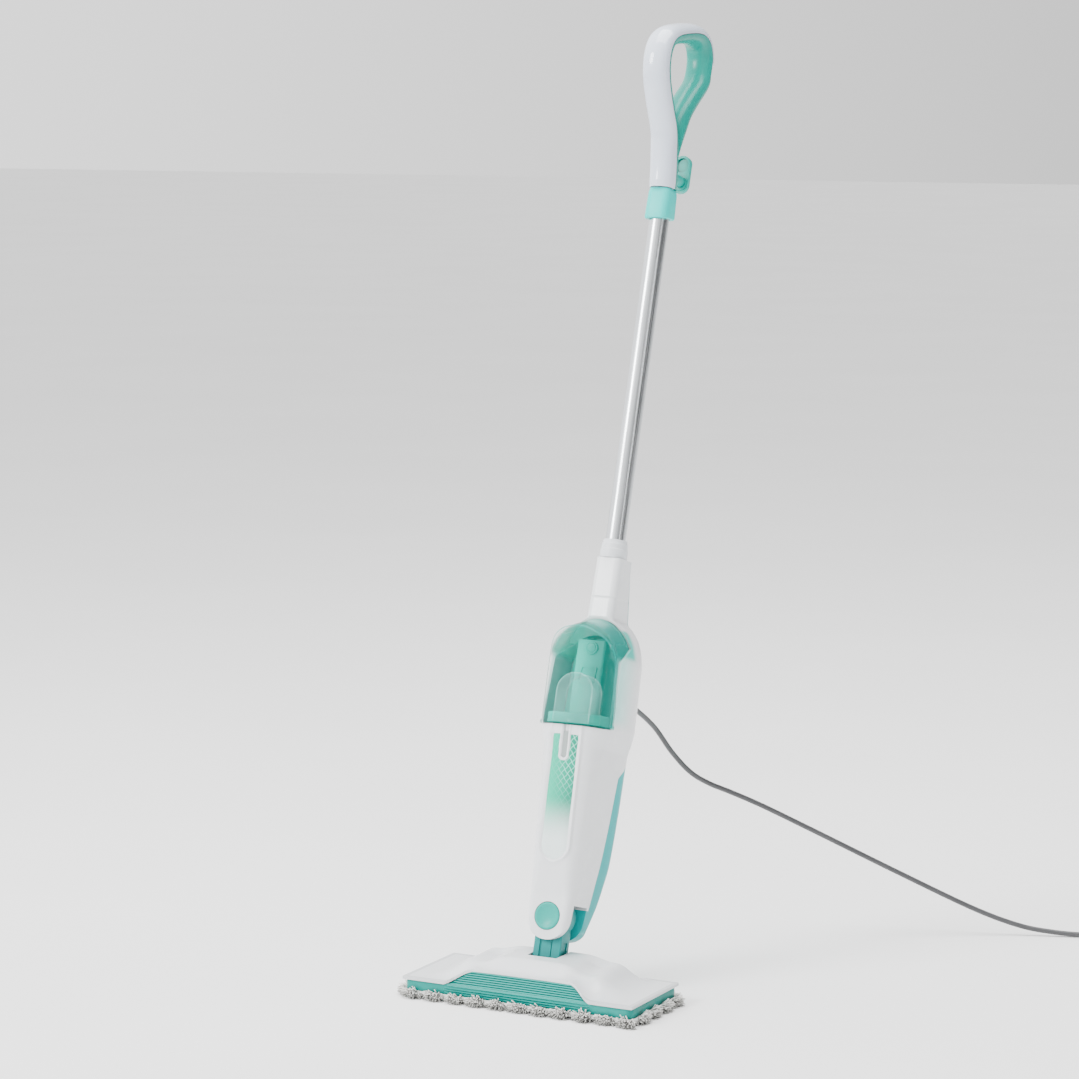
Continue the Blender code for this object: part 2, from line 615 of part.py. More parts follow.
def make_housing():
    cavity = add("housing_cavity", body_solid(WALL, 0.100, 0.490), None, shaft_frame)
    recess_wall = tank_arch(TANK_INSET - WALL, TANK_BASE - WALL, 0.0, -0.05, TANK_BACK_Y + WALL)
    cut(cavity, add("recess_wall", recess_wall, None, shaft_frame))
    slot = knuckle_slot()
    round_end = add("round_end", lower_end(-0.05, 0.12, LOBE_R), None, shaft_frame)
    tank_bare = add("tank_bare_cut", bare_region(), None, shaft_frame)
    recess = tank_arch(TANK_INSET - 2 * GAP, TANK_BASE - 2 * GAP, 0.0, -0.05, TANK_BACK_Y + 2 * GAP)
    tank_recess = add("tank_recess", recess, None, shaft_frame)
    tube_bore = add("neck_tube_bore", rod(TUBE_R + 2 * GAP, (0, TUBE_Y, 0), 0.47, 0.52), None, shaft_frame)
    button_bore = add("button_bore", rod(BUTTON_R + GAP, (0, 0, SWIVEL_Z), -0.03, -0.0140, "Y", 32),
                      None, shaft_frame)
    pin_bore = add("swivel_pin_bore", rod(SWIVEL_PIN_R + GAP, (0, 0, SWIVEL_Z), -0.0150, 0.036, "Y"),
                   None, shaft_frame)
    panel_cut = add("panel_recess", panel_shape(GAP, -0.05, -0.012), None, shaft_frame)
    cut(panel_cut, add("panel_recess_floor", body_solid(0.0014, 0.11, 0.288), None, shaft_frame))
    lens_cut = add("lens_recess", lens_shape(GAP, -0.05, -0.012), None, shaft_frame)
    cut(lens_cut, add("lens_recess_floor", body_solid(0.0021, 0.11, 0.288), None, shaft_frame))
    valve_bore = add("valve_bore", rod(0.0056, (VALVE_X, 0, VALVE_Z), 0.030, 0.060, "Y", 20), None, shaft_frame)
    steam_bore = add("steam_bore", rod(0.0034, (0, 0.004, 0), 0.075, 0.110, "Z", 16), None, shaft_frame)

    front = add("front_shell", body_solid(), "white_gloss", shaft_frame)
    keep(front, round_end)
    cut(front, add("rear_region", rear_region(GAP), None, shaft_frame), cavity, slot, tank_bare, tank_recess)
    cut(front, tube_bore, button_bore, pin_bore, panel_cut, lens_cut, valve_bore, steam_bore)

    rear = add("rear_cover", body_solid(), "teal_gloss", shaft_frame)
    keep(rear, add("rear_region_keep", rear_region(), None, shaft_frame))
    keep(rear, round_end)
    cord_bore = add("cord_bore", slanted_rod(0.0065, -0.02, 0.03), None, shaft_frame)
    cut(rear, cavity, pin_bore, cord_bore)

    panel = add("decor_panel", body_solid(0.0003, 0.11, 0.288), "teal_clear", shaft_frame)
    cut(panel, add("decor_panel_back", body_solid(0.0011, 0.105, 0.289), None, shaft_frame))
    keep(panel, add("decor_panel_outline", panel_shape(0.0, -0.05, -0.012), None, shaft_frame))
    lens = add("indicator_lens", body_solid(0.0007, 0.11, 0.288), "light_grey", shaft_frame)
    cut(lens, add("indicator_lens_back", body_solid(0.0018, 0.105, 0.289), None, shaft_frame))
    keep(lens, add("indicator_lens_outline", lens_shape(0.0, -0.05, -0.012), None, shaft_frame))
    add("swivel_pin", rod(SWIVEL_PIN_R, (0, 0, SWIVEL_Z), -0.0136, 0.0355, "Y"), "steel", shaft_frame)

    collar_profile = [(TUBE_R + GAP, 0.5003), (0.0165, 0.5003), (0.0160, 0.5150), (0.0150, 0.5190),
                      (0.0145, 0.5230), (TUBE_R + GAP, 0.5230)]
    add("tube_guide", turned(collar_profile, (0, TUBE_Y, 0), "Z", 32), "light_grey", shaft_frame)




def u_outline(half, low, high, steps=12):
    """Straight top and sides with a half-round bottom, in X and Z."""
    points = [(half, high), (-half, high)]
    for step in range(steps + 1):
        angle = math.pi + math.pi * step / steps
        points.append((half * math.cos(angle), low + half + half * math.sin(angle)))
    return points


def panel_shape(grow, low_y, high_y):
    """Decor panel with a notch left for the lens."""
    notch = LENS_HALF + 0.0035 - grow
    outline = [(PANEL_HALF + grow, PANEL_HIGH + grow), (notch, PANEL_HIGH + grow)]
    for step in range(9):
        angle = -math.pi * step / 8
        outline.append((notch * math.cos(angle), LENS_LOW + LENS_HALF + notch * math.sin(angle)))
    outline.append((-notch, PANEL_HIGH + grow))
    outline += u_outline(PANEL_HALF + grow, PANEL_LOW - grow, PANEL_HIGH + grow)[1:]
    return prism(outline, "Y", low_y, high_y)


def lens_shape(grow, low_y, high_y):
    return prism(u_outline(LENS_HALF + grow, LENS_LOW - grow, LENS_HIGH + grow, 8), "Y", low_y, high_y)




def slanted_matrix():
    return Matrix.Translation(CORD_EXIT) @ Matrix.Rotation(-math.pi / 2 - CORD_TILT, 4, "X")


def slanted_rod(radius, low, high):
    shape = rod(radius, (0, 0, 0), low, high, "Z", 20)
    shape.transform(slanted_matrix())
    return shape


def make_strain_relief():
    bore = CORD_D / 2 + GAP
    profile = [(bore, -0.008), (0.0062, -0.008), (0.0062, 0.0045), (0.0058, 0.012), (0.0050, 0.026),
               (0.0043, 0.036), (bore, 0.036)]
    shape = turned(profile, (0, 0, 0), "Z", 18)
    shape.transform(slanted_matrix())
    add("strain_relief", shape, "dark_grey", shaft_frame)


def make_button():
    profile = [(0, 0.0), (0.0150, 0.0), (BUTTON_R, -0.0012), (BUTTON_R, -0.0060), (0, -0.0060)]
    face_y = FRONT_Y - 0.0008
    flipped = [(r, face_y - h) for r, h in profile]
    shape = turned(flipped, (0, 0, SWIVEL_Z), "Y", 32)
    button = add("release_button", shape, "teal_gloss", shaft_frame, (0, face_y, SWIVEL_Z))
    hollow = rod(0.0120, (0, 0, SWIVEL_Z), -0.0195, -0.010, "Y", 24)
    cut(button, add("button_hollow", hollow, None, shaft_frame))
    add("button_spring", pipe(0.0100, 0.0082, (0, 0, SWIVEL_Z), -0.0192, -0.0143, "Y", 20), "steel", shaft_frame)


# ---- works inside the housing ------------------------------------------------------------
def make_works():
    boiler = add("boiler", prism(fillet_outline([(-0.022, -0.006, 0.006), (0.022, -0.006, 0.006),
                                                 (0.022, 0.030, 0.006), (-0.022, 0.030, 0.006)], 3),
                                 "Z", 0.105, 0.190), "aluminium", shaft_frame)
    fuse(boiler, add("boiler_inlet", rod(0.004, (0.010, 0.018, 0), 0.185, 0.200, "Z", 14), None, shaft_frame))
    add("thermostat", rod(0.0085, (0, 0, 0.165), -0.0145, -0.0063, "Y", 20), "steel", shaft_frame)
    add("thermal_fuse", rod(0.0022, (0, -0.0090, 0.130), -0.0140, 0.0140, "X", 12), "brass", shaft_frame)
    add("terminal_block", box((-0.012, 0.036, 0.150), (0.012, 0.050, 0.172)), "black", shaft_frame)
    pump = add("pump_body", rod(0.0105, (0, PUMP_Y, 0), 0.205, 0.276, "Z", 24), "light_grey", shaft_frame)
    cut(pump, add("pump_bore", rod(0.0075, (0, PUMP_Y, 0), 0.212, 0.300, "Z", 20), None, shaft_frame))
    hose = [Vector(p) for p in ((0.010, 0.018, 0.2004), (0.010, 0.018, 0.206), (0.010, 0.022, 0.214),
                                (0.010, 0.030, 0.219), (0.010, 0.0358, 0.2208))]
    tube_curve("boiler_hose", smooth_route(hose, 0.006), 0.0030, "silicone", shaft_frame)
    socket = pipe(0.0085, 0.0056, (VALVE_X, 0, VALVE_Z), TANK_BACK_Y + 0.0034, TANK_BACK_Y + 0.0125, "Y", 20)
    add("tank_socket", socket, "light_grey", shaft_frame)
    add("steam_pipe", rod(0.0030, (0, 0.004, 0), 0.0858, 0.1046, "Z", 16), "brass", shaft_frame)
    for i, (x, z) in enumerate(((-0.018, 0.112), (0.018, 0.112), (-0.022, 0.238), (0.022, 0.238)), 1):
        y_back = section_at(z)[4]
        screw = rod(0.0032, (x, 0, z), y_back + 0.0011, y_back + 0.0028, "Y", 14)
        add(f"cover_screw_{i}", screw, "steel", shaft_frame)


# ---- water tank --------------------------------------------------------------------------
def make_tank():
    shell = add("tank_shell", tank_arch(0.0, TANK_BASE, TANK_RISE, -0.05, 0.03), "clear", shaft_frame)
    keep(shell, add("tank_bulge", tank_plan(0.0), None, shaft_frame))
    keep(shell, add("tank_bare_keep", bare_region(GAP), None, shaft_frame))
    rear_body = tank_arch(TANK_INSET, TANK_BASE, 0.0, -0.0125, TANK_BACK_Y)
    fuse(shell, add("tank_rear_body", rear_body, None, shaft_frame))
    room = tank_arch(TANK_WALL, TANK_BASE + TANK_WALL, TANK_RISE, -0.05, 0.03)
    front_room = add("tank_front_room", room, None, shaft_frame)
    keep(front_room, add("tank_room_bulge", tank_plan(TANK_WALL), None, shaft_frame))
    keep(front_room, add("tank_room_keep", bare_region(GAP + TANK_WALL), None, shaft_frame))
    inner = tank_arch(TANK_INSET + TANK_WALL, TANK_BASE + TANK_WALL, 0.0, -0.016, TANK_BACK_Y + 0.01)
    cut(shell, front_room, add("tank_rear_room", inner, None, shaft_frame))
    cap_bore = rod(CAP_R + GAP, (CAP_X, CAP_Y, 0), 0.27, 0.30, "Z", 24)
    cut(shell, add("tank_cap_bore", cap_bore, None, shaft_frame))

    lid = tank_arch(TANK_INSET + TANK_WALL + GAP, TANK_BASE + TANK_WALL + GAP, 0.0,
                    TANK_BACK_Y - 0.0025, TANK_BACK_Y - 0.0003)
    back = add("tank_back", lid, "teal_clear", shaft_frame)
    column = box((-0.0190, -0.003, TANK_BASE + TANK_WALL + 0.004), (0.0190, TANK_BACK_Y - 0.001, 0.396))
    fuse(back, add("tank_column", column, None, shaft_frame))
    channel = box((-0.0170, -0.001, TANK_BASE + TANK_WALL + 0.006), (0.0170, 0.06, 0.394))
    cut(back, add("tank_channel", channel, None, shaft_frame))
    cap = rod(CAP_R, (CAP_X, CAP_Y, 0), TANK_BASE + GAP, TANK_BASE + 0.008, "Z", 24)
    add("filler_cap", cap, "teal_gloss", shaft_frame, (CAP_X, CAP_Y, TANK_BASE))
    valve = rod(0.0050, (VALVE_X, 0, VALVE_Z), TANK_BACK_Y + GAP, TANK_BACK_Y + 0.0095, "Y", 18)
    add("tank_valve", valve, "dark_grey", shaft_frame)


# ---- shaft tube and handle ---------------------------------------------------------------


def grip_frames(points, count):
    """Evenly spaced places on the loop's smooth line, each with its normal in the YZ plane."""
    route = smooth_route([Vector((0.0, y, z)) for y, z in points], 0.010)
    places = [route[round(i * (len(route) - 1) / count)] for i in range(count + 1)]
    frames = []
    for i, place in enumerate(places):
        ahead = places[min(i + 1, count)] - places[max(i - 1, 0)] if i else Vector((0, 0, 1))
        ahead.normalize()
        frames.append((place, Vector((0.0, -ahead.z, ahead.y))))
    return frames


def grip_ring(frame, half_x, outer, inner, shift=0.0, sides=20):
    """Oval ring across the loop: outer is its reach away from the loop's middle, inner towards it."""
    place, normal = frame
    ring = []
    for i in range(sides):
        angle = 2 * math.pi * i / sides
        reach = outer if math.cos(angle) > 0 else inner
        offset = normal * (reach * math.cos(angle) + shift)
        ring.append(place + offset + Vector((half_x * math.sin(angle), 0, 0)))
    return ring




def grip_size(step):
    """Half width and half thickness of the grip: round at its foot, oval above, thinner at its end."""
    t = smooth_step(step / 6)
    half_x = GRIP_FOOT_R + (GRIP_HALF_X - GRIP_FOOT_R) * t
    half_t = GRIP_FOOT_R + (GRIP_HALF_T - GRIP_FOOT_R) * t
    u = smooth_step((step - GRIP_STEPS + 5) / 5)
    return half_x + (ARM_END_X - half_x) * u, half_t + (ARM_END_T - half_t) * u


def make_handle():
    wall_plug = TUBE_R - TUBE_WALL - GAP
    add("shaft_tube", pipe(TUBE_R, TUBE_R - TUBE_WALL, (0, TUBE_Y, 0), TUBE_LOW, TUBE_HIGH, "Z", 28),
        "aluminium", shaft_frame)
    pump_rod = add("pump_rod", rod(wall_plug, (0, TUBE_Y, 0), 0.442, 0.475, "Z", 24), "steel", shaft_frame)
    arm = box((-0.006, TUBE_Y - 0.004, 0.4415), (0.006, PUMP_Y + 0.0045, 0.4500))
    fuse(pump_rod, add("pump_arm", arm, None, shaft_frame))
    fuse(pump_rod, add("pump_stem", rod(0.0035, (0, PUMP_Y, 0), 0.245, 0.446, "Z", 16), None, shaft_frame))
    add("pump_piston", rod(0.0072, (0, PUMP_Y, 0), 0.2330, 0.2447, "Z", 20), "rubber", shaft_frame)

    collar_profile = [(0, 0.9504), (TUBE_R + GAP, 0.9510), (TUBE_R + GAP, 0.9270), (0.0155, 0.9255),
                      (COLLAR_R, 0.9275), (COLLAR_R, 0.9590), (0.0155, GRIP_FOOT - GAP), (0, GRIP_FOOT - GAP)]
    collar = turned(collar_profile, (0, TUBE_Y, 0), "Z", 32)
    add("handle_collar", collar, "teal_gloss", shaft_frame)

    frames = grip_frames(LOOP, GRIP_STEPS)
    front_rings, inner_rings, rear_rings = [], [], []
    for step, frame in enumerate(frames):
        half_x, half_t = grip_size(step)
        if step <= WHITE_END:
            front_rings.append(grip_ring(frame, half_x, half_t, 0.0, GAP / 2))
        if step <= REAR_START + 1:
            inner_rings.append(grip_ring(frame, half_x, 0.0, half_t, -GAP / 2))
        if step >= REAR_START and step != REAR_START + 1:
            tuck = 0.0010 if step == REAR_START else 0.0
            outer = half_t if step > WHITE_END else 0.0
            rear_rings.append(grip_ring(frame, half_x - tuck, outer, half_t - tuck, -GAP / 2 - tuck))
    add("handle_front", loft(front_rings), "white_gloss", shaft_frame)
    rear = add("handle_rear", loft(inner_rings), "teal_gloss", shaft_frame)
    fuse(rear, add("handle_rear_arm", loft(rear_rings), None, shaft_frame))
    pin_bore = add("hook_pin_bore", rod(0.0023, (0, 0, HOOK_Z), 0.026, 0.060, "Y", 14), None, shaft_frame)
    cut(rear, pin_bore)




def make_cord_hook():
    outline = []
    for step in range(17):
        angle = math.pi * step / 16
        outline.append((HOOK_HALF * math.cos(angle), HOOK_HIGH - HOOK_HALF + HOOK_HALF * math.sin(angle)))
    for step in range(17):
        angle = math.pi + math.pi * step / 16
        outline.append((HOOK_HALF * math.cos(angle), HOOK_LOW + HOOK_HALF + HOOK_HALF * math.sin(angle)))
    plate = prism(outline, "Y", HOOK_PLATE_Y, HOOK_PLATE_Y + HOOK_PLATE_T)
    hook = add("cord_hook", plate, "teal_gloss", shaft_frame, (0, HOOK_PLATE_Y, HOOK_Z))
    stem = rod(HOOK_STEM_R, (0, 0, HOOK_Z), 0.0395, HOOK_PLATE_Y + 0.002, "Y", 20)
    fuse(hook, add("hook_stem", stem, None, shaft_frame))
    cut(hook, add("hook_bore", rod(0.0023, (0, 0, HOOK_Z), 0.03, HOOK_PLATE_Y + 0.0025, "Y", 14), None, shaft_frame))
    add("hook_pin", rod(0.0020, (0, 0, HOOK_Z), 0.0265, HOOK_PLATE_Y + 0.0022, "Y", 14), "steel", shaft_frame)


# ---- power cord --------------------------------------------------------------------------


def make_cord():
    tip = shaft_to_world(RELIEF_TIP)
    ahead = shaft_to_world(RELIEF_TIP + Vector((0.0, math.cos(CORD_TILT), -math.sin(CORD_TILT))) * 0.014)
    lead = [tip, ahead] + [Vector(point) for point in LEAD_ROUTE]
    tube_curve("power_cord", smooth_route(lead, 2.4 * CORD_D), CORD_D / 2, "dark_grey")

    x, y = COIL_CENTRE
    soft = 0.003
    low, high = COIL_BASE, COIL_TOP
    inner, outer = COIL_R - COIL_HALF, COIL_R + COIL_HALF
    profile = [(inner, low + soft), (inner + soft, low), (outer - soft, low), (outer, low + soft),
               (outer, high - soft), (outer - soft, high), (inner + soft, high), (inner, high - soft)]
    add("cord_coil", turned(profile, (x, y, 0), "Z", 36), "dark_grey")

    tie_low = (x - outer - GAP - 0.0010, y - 0.005, GAP)
    tie_high = (x - inner + GAP + 0.0016, y + 0.005, high + GAP + 0.0010)
    tie = add("cord_tie", box(tie_low, tie_high), "black")
    room = box((tie_low[0] + 0.0010, y - 0.02, COIL_BASE - GAP), (tie_high[0] - 0.0010, y + 0.02, high + GAP))
    cut(tie, add("tie_room", room))

    tail = [Vector((x + a, y + b, c)) for a, b, c in TAIL_ROUTE]
    tube_curve("cord_tail", smooth_route(tail, 2.0 * CORD_D), CORD_D / 2, "dark_grey")

    end = Vector((x, y, 0)) + PLUG_END
    rings = []
    for along, width, height in ((0.0, 0.0052, 0.0048), (0.010, 0.0070, 0.0062), (0.014, 0.0108, 0.0078),
                                 (0.020, PLUG_HALF_W, PLUG_HALF_H), (PLUG_LENGTH, PLUG_HALF_W, PLUG_HALF_H)):
        outline = fillet_outline([(-width, -height, 0.003), (width, -height, 0.003),
                                  (width, height, 0.003), (-width, height, 0.003)], 3)
        rings.append([(end.x - along, end.y + a, end.z + b) for a, b in outline])
    add("plug_body", loft(rings), "dark_grey")
    front = end.x - PLUG_LENGTH - GAP
    for i, offset in enumerate((-0.00635, 0.00635), 1):
        low = (front - 0.0170, end.y + offset - 0.00075, end.z - 0.0032)
        high = (front, end.y + offset + 0.00075, end.z + 0.0032)
        add(f"plug_blade_{i}", box(low, high), "brass")


make_head()
make_neck()
make_housing()
make_strain_relief()
make_button()
make_works()
make_tank()
make_handle()
make_cord_hook()
make_cord()
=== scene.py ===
"""Looks of the steam mop: detailed visible pieces, procedural materials, floor, lights and camera.

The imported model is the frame. Pieces above the head are modelled in the shaft's own frame: X across,
Y backwards and square to the shaft, Z along it, with its origin on the tilt axle. Units are metres.
"""
import json
import math
import random

import bmesh
import bpy
from mathutils import Matrix, Vector


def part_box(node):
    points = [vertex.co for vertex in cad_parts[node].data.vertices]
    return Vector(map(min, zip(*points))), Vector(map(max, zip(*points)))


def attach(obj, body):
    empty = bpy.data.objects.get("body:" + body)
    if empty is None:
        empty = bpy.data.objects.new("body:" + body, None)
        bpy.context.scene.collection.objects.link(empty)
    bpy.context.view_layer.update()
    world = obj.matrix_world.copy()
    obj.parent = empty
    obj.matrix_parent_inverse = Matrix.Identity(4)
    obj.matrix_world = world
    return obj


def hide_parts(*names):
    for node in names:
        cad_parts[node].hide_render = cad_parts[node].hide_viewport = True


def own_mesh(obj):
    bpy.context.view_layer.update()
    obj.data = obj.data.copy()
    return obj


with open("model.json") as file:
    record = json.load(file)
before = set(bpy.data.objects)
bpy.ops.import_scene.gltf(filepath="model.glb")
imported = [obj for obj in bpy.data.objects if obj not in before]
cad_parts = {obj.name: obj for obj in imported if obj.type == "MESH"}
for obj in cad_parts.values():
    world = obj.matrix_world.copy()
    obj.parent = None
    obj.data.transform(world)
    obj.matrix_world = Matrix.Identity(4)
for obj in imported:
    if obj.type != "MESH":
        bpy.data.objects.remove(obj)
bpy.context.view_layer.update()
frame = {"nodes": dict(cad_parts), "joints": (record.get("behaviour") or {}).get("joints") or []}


# ---- places from the frame ---------------------------------------------------------------
def joint(name):
    return next(j for j in frame["joints"] if j["name"] == name)


PIVOT = Vector(joint("tilt")["pos_m"])
REARWARD = Vector(joint("turn")["axis"])
LEAN = math.atan2(-REARWARD.z, REARWARD.y)
SHAFT = Matrix.Translation(PIVOT) @ Matrix.Rotation(-LEAN, 4, "X")
WORLD = Matrix.Identity(4)


def shaft_to_world(point):
    return SHAFT @ Vector(point)


# ---- driving dimensions ------------------------------------------------------------------
GAP = 0.0003

HEAD_LOW, HEAD_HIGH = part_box("skirt")
HEAD_HALF_W, HEAD_HALF_D = HEAD_HIGH.x, HEAD_HIGH.y
SKIRT_BASE, PANEL_TOP = HEAD_LOW.z, HEAD_HIGH.z
SKIRT_TOP = 0.0218
SKIRT_WALL = 0.0026
PANEL_HALF_TOP = 0.0655
PANEL_HALF_BASE = 0.0965
PANEL_FRONT_TOP = -0.0455
RIBS = 12
LIP_Z = 0.0245
DECK_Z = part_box("head_cover")[1].z
COVER_T = 0.0022
LIP_GROW = 0.0022       # how far the cover's lip stands out over the skirt
LIP_DROP = 0.0036

PAD_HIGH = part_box("floor_pad")[1]
PAD_FLOOR = 0.0065      # floor of the pocket that the skirt stands in
PAD_CLEAR = 0.0006
PAD_SWELL = 0.0008      # the most that the cloth simulation may move the backing
CLUMPS = 30
YARNS_PER_CLUMP = 100
EDGE_YARNS = 420
SOLE_STEP = 0.0062

NECK_HALF_X = 0.018
NECK_HALF_Y = 0.0115
SWIVEL_Z = 0.061
KNUCKLE_R = 0.0225
SLOT_BACK_Y = 0.022
LOBE_R = 0.028
BUTTON_R = 0.0167
FRONT_Y = -0.022
SWIVEL_BORE_R = 0.0063
HOOK_BORE_R = 0.0023
BEYOND = 0.08           # half width of tools that reach past the housing on both sides

TUBE_Y = 0.024
TUBE_R = 0.01225
WALL = 0.003

TANK_HALF = 0.049
TANK_TAPER = 0.0035
TANK_INSET = 0.0028
TANK_FRONT_Y = -0.044
TANK_FRONT_R = 0.0415
TANK_BACK_Y = 0.0375
TANK_BASE = 0.289
TANK_SHOULDER = 0.365
TANK_TOP = 0.4085
TANK_RISE = 0.30
TANK_WALL = 0.002
CHAMBER_HALF = 0.0245
CHAMBER_BASE = 0.2920
CHAMBER_SHOULDER = 0.3300
CHAMBER_TOP = 0.3530
CAP_X, CAP_Y, CAP_R = 0.0297, 0.014, 0.0098

PANEL_HALF = 0.0172
PANEL_HIGH = 0.277
PANEL_LOW = 0.128
LENS_HALF = 0.0036
LENS_HIGH = 0.2805
LENS_LOW = 0.249
LENS_MARGIN = 0.0035
DETAILS_TOP = 0.30      # above the panel and the lens, under the tank
RIDGE_WIDTH = 0.0056    # of the U-shaped ridge round the panel
RIDGE_HEIGHT = 0.0017
SEAM_Z = 0.4512
SEAM_HALF = 0.0009

CORD_EXIT = Vector((0.0, 0.0640, 0.3480))
CORD_TILT = math.radians(15)
CORD_D = 0.0065
COIL_CENTRE = Vector((0.565, 0.655, 0.0))
COIL_R = 0.0463
COIL_LAYERS = 4
COIL_BASE = 0.0016
COIL_TOP = COIL_BASE + COIL_LAYERS * CORD_D
CORD_FLOOR = CORD_D / 2 + GAP
# Route of the lead from the strain relief to the coil, in world metres.
LEAD_ROUTE = ((0.003, 0.256, 0.3050), (0.011, 0.287, 0.2800), (0.022, 0.313, 0.2460), (0.036, 0.337, 0.2180),
              (0.052, 0.359, 0.2010), (0.072, 0.383, 0.1870), (0.105, 0.410, 0.1670), (0.160, 0.450, 0.1320),
              (0.250, 0.500, 0.0800), (0.340, 0.540, 0.0335), (0.395, 0.562, 0.0125), (0.435, 0.576, 0.0056),
              (0.470, 0.587, CORD_FLOOR), (0.505, 0.595, CORD_FLOOR), (0.536, 0.5992, CORD_FLOOR))
# Route of the tail from the top of the coil to the plug, given from the coil's centre.
TAIL_ROUTE = ((0.0561, 0.0290, COIL_TOP - CORD_D / 2), (0.0558, 0.0400, 0.0225), (0.0530, 0.0530, 0.0170),
              (0.0465, 0.0650, 0.0130), (0.0360, 0.0735, 0.0115), (0.0230, 0.0775, 0.0115),
              (0.0150, 0.0780, 0.0115))
PLUG_LENGTH = 0.036


# ---- camera ------------------------------------------------------------------------------
AZIMUTH = math.radians(27.85)
ELEVATION = math.radians(7.56)
CAMERA_DISTANCE = 4.084
AIM = Vector((-0.0006, -0.0003, 0.5506))
LENS_MM = 116.8


def make_camera():
    data = bpy.data.cameras.new("camera")
    data.lens = LENS_MM
    data.sensor_width = 36.0
    made = bpy.data.objects.new("camera", data)
    bpy.context.scene.collection.objects.link(made)
    back = Vector((math.sin(AZIMUTH) * math.cos(ELEVATION), -math.cos(AZIMUTH) * math.cos(ELEVATION),
                   math.sin(ELEVATION)))
    made.location = AIM + back * CAMERA_DISTANCE
    made.rotation_euler = (math.pi / 2 - ELEVATION, 0.0, AZIMUTH)
    bpy.context.scene.camera = made


# ---- shader helpers ----------------------------------------------------------------------
def srgb(red, green, blue):
    """Linear colour of an 8-bit display colour."""
    def channel(value):
        value /= 255
        return value / 12.92 if value <= 0.04045 else ((value + 0.055) / 1.055) ** 2.4
    return (channel(red), channel(green), channel(blue), 1.0)


def shade(colour, factor):
    return (*(min(1.0, c * factor) for c in colour[:3]), 1.0)


class Shader:
    """The node tree of a material or the world, with short calls for the nodes used here."""

    def __init__(self, name, world=False):
        self.material = (bpy.data.worlds if world else bpy.data.materials).new(name)
        self.material.use_nodes = True
        self.tree = self.material.node_tree
        self.main = self.tree.nodes["Background" if world else "Principled BSDF"]
        places = self.tree.nodes.new("ShaderNodeTexCoord")
        self.where = places.outputs["Generated" if world else "Object"]

    def plug(self, socket, value):
        if isinstance(value, bpy.types.NodeSocket):
            self.tree.links.new(value, socket)
        else:
            socket.default_value = value

    def node(self, kind, inputs, **settings):
        made = self.tree.nodes.new(kind)
        for key, value in settings.items():
            setattr(made, key, value)
        for key, value in inputs.items():
            self.plug(made.inputs[key], value)
        return made

    def noise(self, scale, detail=2.0, vector=None):
        inputs = {"Vector": vector or self.where, "Scale": scale, "Detail": detail}
        return self.node("ShaderNodeTexNoise", inputs).outputs["Fac"]

    def stretched(self, x, y, z):
        """Object coordinates multiplied along each axis."""
        return self.node("ShaderNodeMapping", {"Vector": self.where, "Scale": (x, y, z)}).outputs[0]

    def calc(self, operation, a, b=0.0, c=0.0):
        return self.node("ShaderNodeMath", {0: a, 1: b, 2: c}, operation=operation).outputs[0]

    def add(self, a, b):
        return self.calc("ADD", a, b)

    def subtract(self, a, b):
        return self.calc("SUBTRACT", a, b)

    def multiply(self, a, b):
        return self.calc("MULTIPLY", a, b)

    def largest(self, a, b):
        return self.calc("MAXIMUM", a, b)

    def hypotenuse(self, a, b):
        return self.calc("SQRT", self.add(self.multiply(a, a), self.multiply(b, b)))

    # Painted shade: darken creases, grooves and recesses with a darker colour where ambient occlusion finds
    # them.
    def paint_crease_shade(self, colour, dark, distance, low, high, amount):
        open_air = self.node("ShaderNodeAmbientOcclusion", {"Distance": distance}, samples=6).outputs["AO"]
        return self.mix(self.span(open_air, low, high, amount, 0.0), colour, dark)

    def span(self, value, low, high, to_low=0.0, to_high=1.0):
        inputs = {"Value": value, "From Min": low, "From Max": high, "To Min": to_low, "To Max": to_high}
        return self.node("ShaderNodeMapRange", inputs, interpolation_type="SMOOTHSTEP").outputs[0]

    def mix(self, factor, a, b):
        made = self.node("ShaderNodeMix", {0: factor, 6: a, 7: b}, data_type="RGBA")
        return made.outputs[2]

    def axes(self):
        parts = self.node("ShaderNodeSeparateXYZ", {0: self.where})
        return parts.outputs["X"], parts.outputs["Y"], parts.outputs["Z"]

    def bump(self, height, distance, strength=1.0):
        inputs = {"Height": height, "Distance": distance, "Strength": strength}
        self.plug(self.main.inputs["Normal"], self.node("ShaderNodeBump", inputs).outputs[0])

    def set(self, **values):
        for key, value in values.items():
            self.plug(self.main.inputs[key.replace("_", " ")], value)


def painted_edge_highlight(shader, colour, light, amount):
    """Painted highlight: lighten convex edges a little with a lighter copy of the colour."""
    pointiness = shader.node("ShaderNodeNewGeometry", {}).outputs["Pointiness"]
    edge = shader.span(pointiness, 0.56, 0.66, 0.0, amount)
    return shader.mix(edge, colour, light)


